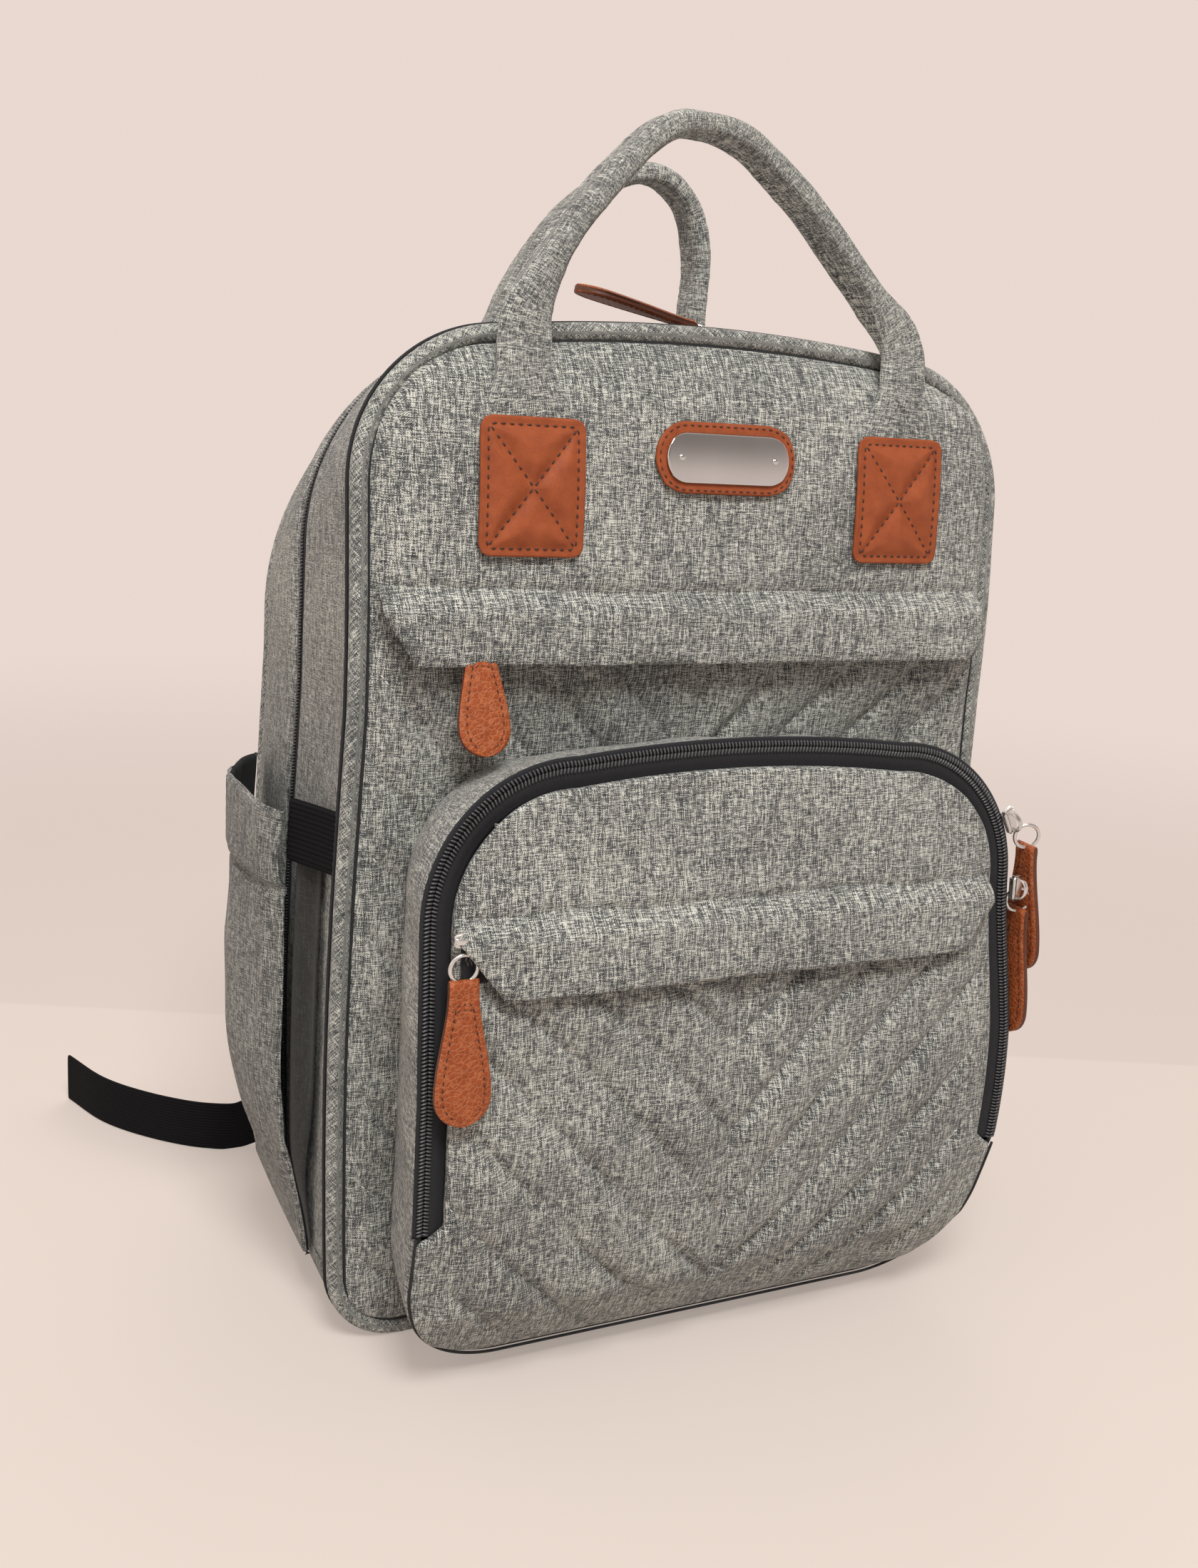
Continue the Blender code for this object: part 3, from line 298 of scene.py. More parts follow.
def leather(name, pebbled):
    """Cognac leather: pebbled with pale creases, or smooth with fine wrinkles."""
    mat, tree, shader = start_material(name, 0.46, Coat_Weight=0.03, Coat_Roughness=0.35, Specular_IOR_Level=0.30)
    u, v = cloth_axes(tree)
    where = node(tree, "CombineXYZ", {0: u, 1: v, 2: 0.0}).outputs[0]
    grain, paleness, depth = (0.52, 0.42, 0.00035) if pebbled else (2.4, 0.10, 0.00010)
    broad = node(tree, "TexNoise", {"Vector": where, "Scale": 0.16, "Detail": 3.0}).outputs["Fac"]
    base = ramp(tree, broad, ((0.30, (0.215, 0.039, 0.0072)), (0.70, (0.300, 0.065, 0.0150))))
    warped = node(tree, "TexNoise", {"Vector": where, "Scale": 1.3, "Detail": 2.0}).outputs["Color"]
    shifted = node(tree, "VectorMath", {0: where, 1: warped}, operation="ADD").outputs[0]
    cells = node(tree, "TexVoronoi", {"Vector": shifted, "Scale": grain}, feature="DISTANCE_TO_EDGE").outputs[0]
    crease = span(tree, cells, 0.0, 0.18)
    creased = calc(tree, "MULTIPLY", calc(tree, "SUBTRACT", 1.0, crease), paleness)
    fine = node(tree, "TexNoise", {"Vector": where, "Scale": 3.0, "Detail": 4.0}).outputs["Fac"]
    rough = node(tree, "MapRange", {"Value": fine, "To Min": 0.38, "To Max": 0.56}).outputs[0]
    feed(tree, shader, Base_Color=blend_colour(tree, creased, base, (0.52, 0.19, 0.075)), Roughness=rough)
    finish_bump(tree, shader, calc(tree, "MULTIPLY_ADD", fine, 0.35, crease), depth, 0.7)
    return mat


def metal(name, colour=(0.74, 0.73, 0.71), roughness=0.20, spread=260.0):
    mat, tree, shader = start_material(name, roughness, 1.0)
    smudge = grain_noise(tree, spread, 4.0)
    rough = node(tree, "MapRange", {"Value": smudge, "From Min": 0.3, "From Max": 0.7,
                                    "To Min": roughness * 0.6, "To Max": roughness * 1.6}).outputs[0]
    tint = ramp(tree, smudge, ((0.3, scaled(colour, 0.9)), (0.7, colour)))
    feed(tree, shader, Base_Color=tint, Roughness=rough)
    finish_bump(tree, shader, smudge, 0.00003, 0.3)
    return mat


def webbing(name, rib=1.5):
    """Black narrow-woven webbing or elastic: ribs along its length, each a plait of short threads."""
    colour = (0.0045, 0.0045, 0.0052)
    mat, tree, shader = start_material(name, 0.85, Specular_IOR_Level=0.08)
    u, v = cloth_axes(tree)
    ribs = calc(tree, "ABSOLUTE", wave(tree, v, rib))
    picks = calc(tree, "ABSOLUTE", wave(tree, calc(tree, "MULTIPLY_ADD", ribs, 0.7, u), 0.8))
    height = calc(tree, "MULTIPLY_ADD", picks, 0.45, ribs)
    noise = stretched_noise(tree, u, v, 1.0, 1.0, 3.0)
    shade = calc(tree, "MULTIPLY_ADD", noise, 0.4, calc(tree, "MULTIPLY", height, 0.5))
    feed(tree, shader, Base_Color=ramp(tree, shade, ((0.25, scaled(colour, 0.45)), (0.95, scaled(colour, 2.3)))))
    finish_bump(tree, shader, height, 0.00030, 0.8)
    return mat


def zip_tape(name):
    """Charcoal twill tape."""
    colour = (0.0125, 0.0130, 0.0160)
    mat, tree, shader = start_material(name, 0.80, Sheen_Weight=0.03, Specular_IOR_Level=0.3)
    u, v = cloth_axes(tree)
    twill = calc(tree, "ABSOLUTE", wave(tree, calc(tree, "ADD", u, v), 0.55))
    noise = stretched_noise(tree, u, v, 0.5, 2.5, 3.0)
    shade = calc(tree, "MULTIPLY_ADD", noise, 0.5, calc(tree, "MULTIPLY", twill, 0.4))
    feed(tree, shader, Base_Color=ramp(tree, shade, ((0.2, scaled(colour, 0.5)), (0.9, scaled(colour, 2.0)))))
    finish_bump(tree, shader, twill, 0.00012, 0.7)
    return mat


def spacer_mesh(name):
    """Padded air mesh: a dark knit with rows of small openings."""
    mat, tree, shader = start_material(name, 0.85, Sheen_Weight=0.15)
    u, v = cloth_axes(tree)
    holes = span(tree, calc(tree, "MULTIPLY", wave(tree, v, 1.5), wave(tree, u, 1.9)), 0.15, 0.65)
    holes = calc(tree, "ABSOLUTE", holes)
    noise = stretched_noise(tree, u, v, 0.4, 1.2, 3.0)
    yarn = ramp(tree, noise, ((0.3, (0.060, 0.063, 0.070)), (0.7, (0.15, 0.155, 0.165))))
    feed(tree, shader, Base_Color=blend_colour(tree, holes, yarn, (0.012, 0.012, 0.014)))
    height = calc(tree, "MULTIPLY_ADD", noise, 0.25, calc(tree, "SUBTRACT", 1.0, holes))
    finish_bump(tree, shader, height, 0.0006, 0.9)
    return mat


def plain(name, colour, roughness):
    """A moulded or painted surface with a fine grain."""
    mat, tree, shader = start_material(name, roughness)
    noise = grain_noise(tree, 600.0, 3.0)
    rough = node(tree, "MapRange", {"Value": noise, "To Min": roughness * 0.8, "To Max": roughness * 1.2}).outputs[0]
    tint = ramp(tree, noise, ((0.3, scaled(colour, 0.8)), (0.7, scaled(colour, 1.2))))
    feed(tree, shader, Base_Color=tint, Roughness=rough)
    finish_bump(tree, shader, noise, 0.00005, 0.4)
    return mat


FABRIC = heather("heather_cloth", tone=0.91)
BIAS = heather("heather_bias", tone=0.92, turn=math.radians(45), contrast=0.8)
SIDE = heather("heather_side", tone=0.86, contrast=0.85)
DARK = heather("heather_dark", tone=0.62, contrast=0.8)
# A near-black copy of the heather cloth: painted shade in the openings of the side pockets' pleats.
PLEAT_SHADE = heather("heather_pleat_shade", tone=0.06, contrast=0.6)
POCKET_CLOTH = heather("heather_side_pocket", tone=0.64, contrast=0.9)
PEBBLED = leather("leather_pebbled", True)
SMOOTH_LEATHER = leather("leather_smooth", False)
LEATHER_EDGE = plain("leather_edge", (0.085, 0.024, 0.010), 0.55)
NICKEL = metal("nickel")
CHROME = metal("chrome_plate", (0.66, 0.66, 0.66), 0.07, 45.0)
WEB = webbing("black_webbing")
ELASTIC = webbing("black_elastic", 1.9)
TAPE = zip_tape("zip_tape")
COIL = plain("zip_coil", (0.060, 0.061, 0.066), 0.28)
MESH = spacer_mesh("spacer_mesh")
PLASTIC = plain("black_plastic", (0.016, 0.016, 0.017), 0.42)
# Near-black lining; also the thin cords in seam crevices, which are painted shade.
LINING_AND_SEAM_SHADE = plain("lining", (0.012, 0.013, 0.015), 0.9)
THREAD_LIGHT = plain("thread_light", (0.62, 0.63, 0.60), 0.7)
THREAD_GREY = plain("thread_grey", (0.11, 0.11, 0.11), 0.7)
THREAD_BROWN = plain("thread_brown", (0.035, 0.010, 0.006), 0.6)


# ---------------------------------------------------------------- mesh tools

def grid_faces(rows, columns, offset=0, close_columns=False, close_rows=False):
    r = np.arange(rows if close_rows else rows - 1)
    c = np.arange(columns if close_columns else columns - 1)
    r, c = np.meshgrid(r, c, indexing="ij")
    r2, c2 = (r + 1) % rows, (c + 1) % columns
    corners = (r * columns + c, r * columns + c2, r2 * columns + c2, r2 * columns + c)
    return np.stack(corners, -1).reshape(-1, 4) + offset


def tube_faces(rows, columns, offset=0):
    """The sides and both ends of a closed tube of rings."""
    ends = [tuple(range(offset + columns - 1, offset - 1, -1)),
            tuple(range(offset + (rows - 1) * columns, offset + rows * columns))]
    return [tuple(f) for f in grid_faces(rows, columns, offset, True)] + ends


def make_mesh(name, points, faces, uvs=None, materials=(), indices=None, sharp=None, fix_normals=True):
    mesh = bpy.data.meshes.new(name)
    mesh.from_pydata(np.asarray(points, float).reshape(-1, 3).tolist(), [], [list(map(int, f)) for f in faces])
    if uvs is not None:
        layer = mesh.uv_layers.new(name="Cloth")
        corner = np.zeros(len(mesh.loops), np.int32)
        mesh.loops.foreach_get("vertex_index", corner)
        layer.data.foreach_set("uv", np.asarray(uvs, np.float32).reshape(-1, 2)[corner].ravel())
    for mat in materials:
        mesh.materials.append(mat)
    if indices is not None:
        mesh.polygons.foreach_set("material_index", np.asarray(indices, np.int32))
    if fix_normals:
        bm = bmesh.new()
        bm.from_mesh(mesh)
        bmesh.ops.recalc_face_normals(bm, faces=bm.faces)
        bm.to_mesh(mesh)
        bm.free()
    mesh.shade_smooth()
    if sharp is not None:
        mesh.set_sharp_from_angle(angle=math.radians(sharp))
    obj = bpy.data.objects.new(name, mesh)
    bpy.context.scene.collection.objects.link(obj)
    return obj


def place(obj, body, slot, *nodes):
    """Ride on a body and stand for CAD nodes; slot is not used."""
    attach(obj, body)
    if nodes:
        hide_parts(*nodes)
    return obj


def grid_normals(points):
    return unit(np.cross(np.gradient(points, axis=1), np.gradient(points, axis=0)))


def edge_distance(grid, spacing):
    """Roughly how far each grid point is from the grid's border."""
    rows, columns = grid.shape[:2]
    r, c = np.meshgrid(np.arange(rows), np.arange(columns), indexing="ij")
    return np.minimum(np.minimum(r, rows - 1 - r), np.minimum(c, columns - 1 - c)) * spacing


def metric_uv(points):
    """Real distances along the middle row and middle column of a grid."""
    across, along = steps_of(points[len(points) // 2]), steps_of(points[:, points.shape[1] // 2])
    return np.stack(np.meshgrid(across, along), axis=-1)


def shell(name, outer, uv, mat, thick, toward, edge_mat=None, lining=None, round_edge=0.5):
    """A closed cloth layer: outer is a grid of points, and toward a point or direction it faces."""
    normal = grid_normals(outer)
    sign = 1.0 if np.mean(np.sum(normal * np.asarray(toward), axis=2)) > 0 else -1.0
    normal = normal * sign
    inner = outer - normal * thick
    rows, columns = outer.shape[:2]
    # The rim is rounded by drawing both faces' outermost points towards each other.
    outer = outer.copy()
    pull = thick * round_edge
    for line in ((0, slice(None)), (-1, slice(None)), (slice(None), 0), (slice(None), -1)):
        outer[line] -= normal[line] * pull * 0.6
        inner[line] += normal[line] * pull * 0.5
    points = np.vstack([outer.reshape(-1, 3), inner.reshape(-1, 3)])
    front = grid_faces(rows, columns)
    back = grid_faces(rows, columns, rows * columns)[:, ::-1]
    ids = np.arange(rows * columns).reshape(rows, columns)
    border = np.concatenate([ids[0, :], ids[1:, -1], ids[-1, -2::-1], ids[-2:0:-1, 0]])
    nxt = np.roll(border, -1)
    rim = np.stack([nxt, border, border + rows * columns, nxt + rows * columns], -1)
    faces = np.vstack([front, back, rim])
    uvs = np.tile(uv.reshape(-1, 2), (2, 1))
    mats, index = [mat], np.zeros(len(faces), int)
    if lining is not None:
        mats.append(lining)
        index[len(front):len(front) + len(back)] = 1
    if edge_mat is not None:
        mats.append(edge_mat)
        index[len(front) + len(back):] = len(mats) - 1
    return make_mesh(name, points, faces, uvs, mats, index)


def frames_along(line, up=(0.0, 0.0, 1.0), closed=False):
    """Tangent and two cross directions at each point of a line, without twist."""
    line = np.asarray(line, float)
    if closed:
        tangent = np.roll(line, -1, axis=0) - np.roll(line, 1, axis=0)
    else:
        tangent = np.gradient(line, axis=0)
    tangent = unit(tangent)
    first = np.zeros_like(tangent)
    side = np.cross(tangent[0], np.asarray(up, float))
    if np.linalg.norm(side) < 1e-6:
        side = np.cross(tangent[0], (1.0, 0.0, 0.0))
    first[0] = side / np.linalg.norm(side)
    for i in range(1, len(line)):
        turned = first[i - 1] - tangent[i] * np.dot(first[i - 1], tangent[i])
        first[i] = turned / np.linalg.norm(turned)
    return tangent, first, np.cross(tangent, first)


def sweep(name, line, section, mat, closed=False, frames=None):
    """A solid along a line; section is a loop of (a, b) points, or one such loop for each point of the line."""
    line = np.asarray(line, float)
    _, first, second = frames or frames_along(line, closed=closed)
    section = np.asarray(section, float)
    if section.ndim == 2:
        section = np.repeat(section[None], len(line), axis=0)
    points = line[:, None] + first[:, None] * section[..., :1] + second[:, None] * section[..., 1:]
    rows, columns = points.shape[:2]
    faces = grid_faces(rows, columns, 0, True, True) if closed else tube_faces(rows, columns)
    around = steps_of(np.vstack([section[0], section[0][:1]]))[:-1]
    uv = np.stack(np.meshgrid(around, steps_of(line)), axis=-1)[..., ::-1]
    return make_mesh(name, points, faces, uv, [mat])


def round_section(radius, count=14):
    a = np.linspace(0, 2 * math.pi, count, endpoint=False)
    return np.stack([radius * np.cos(a), radius * np.sin(a)], axis=1)


def super_section(width, thick, count=28, power=0.5):
    """A soft rectangle: power 1 is an ellipse, and less is squarer."""
    a = np.linspace(0, 2 * math.pi, count, endpoint=False)
    c, s = np.cos(a), np.sin(a)
    return np.stack([0.5 * width * np.sign(c) * np.abs(c) ** power,
                     0.5 * thick * np.sign(s) * np.abs(s) ** power], 1)


# One stitch is a bead of rings: how thick it is at each, and how high it stands, both times its radius.
BEAD_SWELL, BEAD_LIFT = np.array([0.35, 0.9, 1.0, 0.9, 0.35]), np.array([-0.6, 0.25, 0.55, 0.25, -0.6])
BEAD_SINK, BEAD_SIDES = 0.25, 6

# Thread, stitch length, gap and thread radius
QUILT_STITCH = THREAD_LIGHT, 2.2 * MM, 0.9 * MM, 0.27 * MM
FLAP_STITCH = THREAD_GREY, 2.4 * MM, 0.8 * MM, 0.22 * MM
CUFF_STITCH = THREAD_GREY, 2.4 * MM, 0.8 * MM, 0.20 * MM
HANDLE_STITCH = THREAD_GREY, 2.4 * MM, 0.9 * MM, 0.20 * MM
STRAP_STITCH = THREAD_GREY, 2.4 * MM, 0.9 * MM, 0.25 * MM
ANCHOR_STITCH = THREAD_GREY, 2.2 * MM, 0.9 * MM, 0.24 * MM
PATCH_STITCH = THREAD_BROWN, 2.2 * MM, 1.1 * MM, 0.38 * MM
BADGE_STITCH = THREAD_BROWN, 1.9 * MM, 1.2 * MM, 0.28 * MM
PULL_STITCH = THREAD_BROWN, 1.8 * MM, 0.9 * MM, 0.26 * MM


def sew(name, runs, kind, body, slot="heather_fabric"):
    """Sewn thread: one small curved bead for each stitch along runs of (points, normals)."""
    mat, length, gap, radius = kind
    all_points, all_faces = [], []
    rings = len(BEAD_SWELL)
    for points, normals in runs:
        points, normals = np.asarray(points, float), np.asarray(normals, float)
        steps = steps_of(points)
        count = max(1, int(steps[-1] / (length + gap)))
        pitch = steps[-1] / count
        for k in range(count):
            at = (np.linspace(0.5 * gap, pitch - 0.5 * gap, rings) + k * pitch)
            centre = read_off(at, steps, points)
            normal = unit(read_off(at, steps, normals))
            tangent = centre[-1] - centre[0]
            tangent /= max(np.linalg.norm(tangent), 1e-9)
            side = np.cross(tangent, normal)
            lift = BEAD_LIFT * radius - BEAD_SINK * radius
            all_faces += tube_faces(rings, BEAD_SIDES, len(all_points))
            for i in range(rings):
                for j in range(BEAD_SIDES):
                    a = 2 * math.pi * j / BEAD_SIDES
                    all_points.append(centre[i] + normal[i] * (lift[i] + radius * BEAD_SWELL[i] * math.sin(a))
                                      + side[i] * radius * BEAD_SWELL[i] * math.cos(a))
    uv = np.array(all_points)[:, [0, 2]]
    return place(make_mesh(name, all_points, all_faces, uv, [mat]), body, slot)


# ---------------------------------------------------------------- the body's surface

def side_bulge(z):
    return np.where((z > 0) & (z < FOLD_Z), SIDE_BULGE * np.sin(math.pi * np.clip(z, 0, FOLD_Z) / FOLD_Z), 0.0)


def body_numbers(y, inset):
    b = (y - FRONT_Y) / (BACK_Y - FRONT_Y)
    half = lerp(FRONT_HALF_WIDTH, BACK_HALF_WIDTH, b) - inset
    top = lerp(FRONT_TOP, BACK_TOP, b) + TOP_PUFF * math.sin(math.pi * min(max(b, 0.0), 1.0)) - inset
    shoulder = lerp(FRONT_SHOULDER, BACK_SHOULDER, b) - inset
    crown = TOP_CROWN * (1.0 - 0.8 * b)
    return half, top, shoulder, crown


def half_outline(y, inset=0.0):
    """The right half of the body's outline at depth y, finely stepped, from the base's middle to the top's."""
    half, top, shoulder, crown = body_numbers(y, inset)
    corner = BASE_CORNER - inset
    spring = top - crown - shoulder
    reach = half - shoulder
    across = np.linspace(0, half - corner, 12)[:-1]
    parts = [np.stack([across, np.full_like(across, inset)], 1),
             arc((half - corner, inset + corner), corner, -90, 0, 14)]
    rise = np.linspace(inset + corner, spring, 80)[1:-1]
    parts.append(np.stack([np.full_like(rise, half), rise], 1))
    parts.append(arc((half - shoulder, spring), shoulder, 0, 90, 60))
    x = np.linspace(reach, 0, 24)[1:]
    parts.append(np.stack([x, top - crown * (x / reach) ** 2], 1))
    line = np.vstack(parts)
    line[:, 0] += np.where(line[:, 0] > 0.1, side_bulge(line[:, 1]), 0.0)
    return line


def body_loop(y, inset):
    """The body's closed outline at depth y, anticlockwise from its base's middle."""
    right = half_outline(y, inset)
    return np.vstack([right, (right[:-1] * (-1, 1))[::-1][:-1]])


def front_y(z):
    return FRONT_Y + LEAN_DEPTH * smooth((z - LEAN_START) / (FRONT_TOP - LEAN_START))


def upper_line(y, inset, low, count):
    """count points of the right half from height low up to the top's middle."""
    line = half_outline(y, inset)
    rising = line[line[:, 1] > low]
    rising = rising[rising[:, 0] >= 0]
    start = rising[0]
    x = np.interp(low, line[10:120, 1], line[10:120, 0])
    return resample(np.vstack([[x, low], rising]), count) if start[1] > low else resample(rising, count)


def around_top(y, inset, low, side_count, over_count):
    """The outline from the left at height low over the top to the right, split evenly at the fold."""
    line = half_outline(y, inset)
    zs = np.linspace(low, FOLD_Z, side_count)
    side = np.stack([np.interp(zs, line[:, 1], line[:, 0]), zs], 1)
    over = upper_line(y, inset, FOLD_Z, over_count)
    right = np.vstack([side, over[1:]])
    left = right[:-1].copy()
    left[:, 0] *= -1
    return np.vstack([left, right[::-1]])


def edge_x(y, z, inset=0.0):
    line = half_outline(y, inset)
    return np.interp(z, line[:, 1], line[:, 0])


def lid_surface(x, z):
    across = np.clip(np.abs(x) / FRONT_HALF_WIDTH, 0, 1)
    fade = (1.0 - across ** 8) * smooth((FRONT_TOP - z) / 0.030)
    return front_y(z) - 0.0042 - LID_BULGE * bump((z - LID_BULGE_Z) / (2 * LID_BULGE_SPREAD)) * fade


def rim_y(z):
    return np.interp(z, (0.0, 0.040, 0.078, 0.130, 0.190, 0.270),
                     (-0.104, -0.121, -0.1275, -0.1265, -0.1215, -0.1155))


def pocket_face_y(x, z):
    across = np.clip(np.abs(x) / POCKET_HALF, 0, 1)
    return rim_y(z) - POCKET_PUFF * (1.0 - across ** 10) * smooth((POCKET_TOP - z) / 0.04)


def pocket_loop(inset=0.0, steps=24):
    """The front pocket's outline, anticlockwise from its fold on the right."""
    half, top, corner = POCKET_HALF - inset, POCKET_TOP - inset, POCKET_CORNER - inset
    spring = top - POCKET_CROWN - corner
    rise = np.linspace(POCKET_FOLD_Z, spring, 30)
    right = np.stack([np.full_like(rise, half), rise], 1)
    shoulder = arc((half - corner, spring), corner, 0, 90, steps)[1:]
    t = np.linspace(0, 1, 14)[1:]
    crown = np.stack([(half - corner) * (1 - t), top - POCKET_CROWN * (1 - t) ** 2], 1)
    over = np.vstack([right, shoulder, crown])
    over = np.vstack([over, (over[:-1] * (-1, 1))[::-1]])
    bottom, curve = POCKET_BOTTOM + inset, POCKET_BOTTOM_CORNER - inset
    fall = np.linspace(POCKET_FOLD_Z, bottom + curve, 10)[1:]
    right_fall = np.stack([np.full_like(fall, half), fall], 1)
    turn = arc((half - curve, bottom + curve), curve, 0, -90, steps)[1:]
    flat = np.stack([np.linspace(half - curve, 0, 14)[1:], np.full(13, bottom)], 1)
    under = np.vstack([right_fall, turn, flat])
    under_left = (under * (-1, 1))[:-1]
    loop = np.vstack([over, under_left, under[::-1]])
    loop[:, 0] += POCKET_BULGE_RIGHT * bump((loop[:, 1] - 0.105) / 0.095) * (loop[:, 0] > 0.09)
    return loop, len(over)


def coons(bottom, top, left, right):
    """A grid that fills four edge curves."""
    v, u = np.meshgrid(np.linspace(0, 1, len(left)), np.linspace(0, 1, len(bottom)), indexing="ij")
    u, v = u[..., None], v[..., None]
    return ((1 - v) * bottom[None] + v * top[None] + (1 - u) * left[:, None] + u * right[:, None]
            - (1 - u) * (1 - v) * bottom[0] - u * (1 - v) * bottom[-1] - (1 - u) * v * top[0] - u * v * top[-1])


def fill_loop(loop, corners, columns, rows):
    """A grid inside a closed anticlockwise loop; corners are the places of its right-bottom, right-top, left-top
    and left-bottom corners."""
    rb, rt, lt, lb = corners
    loop = np.asarray(loop)

    def part(a, b):
        return loop[a:b + 1] if a <= b else np.vstack([loop[a:], loop[:b + 1]])

    right = resample(part(rb, rt), rows)
    top = resample(part(rt, lt), columns)[::-1]
    left = resample(part(lt, lb), rows)[::-1]
    bottom = resample(part(lb, rb), columns)
    return coons(bottom, top, left, right)


def nearest(loop, x, z):
    return int(np.argmin((loop[:, 0] - x) ** 2 + (loop[:, 1] - z) ** 2))


def corner_places(loop, low, high):
    """Where a loop comes nearest to two corners on the right and their mirror images."""
    return [nearest(loop, side * x, z) for side, (x, z) in ((1, low), (1, high), (-1, high), (-1, low))]


def depth_at(surface, x, z):
    return float(surface(np.array(x), np.array(z)))


def blend_lid(piece):
    """Cloth that runs from the bag on into the lid, with its place baked into its points."""
    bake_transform(piece)


# ---------------------------------------------------------------- camera and room

CAMERA_PLACE = Vector((-0.3083, -0.6116, 0.3887))
YAW, PITCH, ROLL = 0.4596, 0.254, 0.073


def build_camera():
    data = bpy.data.cameras.new("camera")
    data.lens, data.sensor_width = 36.06, 36.0
    data.clip_start, data.clip_end = 0.01, 50.0
    camera = bpy.data.objects.new("camera", data)
    bpy.context.scene.collection.objects.link(camera)
    forward = Vector((math.sin(YAW) * math.cos(PITCH), math.cos(YAW) * math.cos(PITCH), -math.sin(PITCH)))
    level = Vector((math.cos(YAW), -math.sin(YAW), 0.0))
    above = level.cross(forward)
    right = level * math.cos(ROLL) + above * math.sin(ROLL)
    up = -level * math.sin(ROLL) + above * math.cos(ROLL)
    turn = Matrix((right, up, -forward)).transposed().to_4x4()
    camera.matrix_world = Matrix.Translation(CAMERA_PLACE) @ turn
    bpy.context.scene.camera = camera


ROOM, FRONT_DIM = (0.815, 0.690, 0.628), 0.36
FLOOR_NEAR, FLOOR_FAR = (0.36, 0.325, 0.300), (0.330, 0.290, 0.270)
FLOOR_GLOW, FLOOR_GLOW_STRENGTH, FLOOR_HALF = (0.81, 0.70, 0.635), 0.40, 6

# Name, place, target, size, power and colour
LAMPS = (("key", (-0.34, -1.10, 1.70), (0.0, -0.05, 0.30), 0.62, 35.0, (1.0, 0.985, 0.955)),
         ("fill", (-1.3, -0.6, 1.0), (0.0, 0.0, 0.2), 1.2, 3.2, (1.0, 0.98, 0.96)),
         ("back", (0.7, 1.2, 1.3), (0.0, 0.0, 0.25), 1.0, 5.0, (1.0, 0.98, 0.96)))


def surround(tree, direction):
    """The background's tone in a direction: even all round, but dimmer high up in front of the bag."""
    parts = node(tree, "SeparateXYZ", {0: direction}).outputs
    front = span(tree, parts[1], 0.35, -0.95, "SMOOTHSTEP")
    high = span(tree, parts[2], 0.04, 0.34, "SMOOTHSTEP")
    return blend_colour(tree, calc(tree, "MULTIPLY", front, high), ROOM, scaled(ROOM, FRONT_DIM))


def build_room():
    """A plain pale floor that fades into the even background."""
    mat, tree, shader = start_material("floor", 0.75)
    where = node(tree, "NewGeometry").outputs["Position"]
    parts = node(tree, "SeparateXYZ", {0: where})
    x, y = parts.outputs[0], parts.outputs[1]
    edge_a, edge_b = Vector((-0.170, 0.296, 0)), Vector((0.381, 0.057, 0))
    across = (edge_b - edge_a).normalized()
    off = Vector((-across.y, across.x, 0.0))
    behind = calc(tree, "ADD", calc(tree, "MULTIPLY", x, off.x), calc(tree, "MULTIPLY", y, off.y))
    behind = calc(tree, "SUBTRACT", behind, off.dot(edge_a))
    wall = span(tree, behind, -0.0008, 0.0022)
    feed(tree, shader, Base_Color=blend_colour(tree, wall, FLOOR_NEAR, FLOOR_FAR))
    shader.inputs["Specular IOR Level"].default_value = 0.10
    shader.inputs["Emission Color"].default_value = (*FLOOR_GLOW, 1.0)
    shader.inputs["Emission Strength"].default_value = FLOOR_GLOW_STRENGTH
    distance = node(tree, "VectorMath", {0: where}, operation="LENGTH").outputs["Value"]
    far = span(tree, distance, 0.50, 1.5, "SMOOTHSTEP")
    direction = node(tree, "VectorMath", {0: where}, operation="NORMALIZE").outputs["Vector"]
    glow = node(tree, "Emission", {"Strength": 1.0})
    tree.links.new(surround(tree, direction), glow.inputs["Color"])
    mixed = node(tree, "MixShader", {0: far, 1: shader.outputs[0], 2: glow.outputs[0]})
    tree.links.new(mixed.outputs[0], tree.nodes["Material Output"].inputs[0])
    points = [(x * FLOOR_HALF, y * FLOOR_HALF, 0) for x, y in ((-1, -1), (1, -1), (1, 1), (-1, 1))]
    floor = make_mesh("floor", points, [(0, 1, 2, 3)], None, [mat], fix_normals=False)

    world = bpy.data.worlds.new("room")
    world.use_nodes = True
    background = world.node_tree.nodes["Background"]
    towards = node(world.node_tree, "TexCoord").outputs["Generated"]
    world.node_tree.links.new(surround(world.node_tree, towards), background.inputs[0])
    background.inputs[1].default_value = 1.0
    bpy.context.scene.world = world
    bpy.context.scene.view_settings.view_transform = "Standard"
    for values in LAMPS:
        lamp(*values)


def lamp(name, place_at, target, size, power, colour):
    data = bpy.data.lights.new(name, "AREA")
    data.size, data.energy, data.color = size, power, colour
    obj = bpy.data.objects.new(name, data)
    bpy.context.scene.collection.objects.link(obj)
    obj.location = place_at
    obj.rotation_euler = (Vector(target) - Vector(place_at)).to_track_quat("-Z", "Y").to_euler()


# ---------------------------------------------------------------- quilting

QUILT_PITCH, QUILT_SLOPE, QUILT_HEIGHT, QUILT_SINK = 0.0235, 1.05, 0.0044, 0.0027


def quilt_wander(x, z):
    """How far a sewn line strays from its place, as a share of the pitch."""
    return 0.06 * ripple(x, z, 0.12, 71)


def quilt_place(x, z):
    """Distance to the nearest sewn line of the nested V pattern, and the line's number."""
    n = (z - QUILT_SLOPE * np.abs(x)) / math.hypot(1.0, QUILT_SLOPE) / QUILT_PITCH
    n = n + quilt_wander(x, z)
    return np.abs(n - np.round(n)) * QUILT_PITCH, np.round(n)


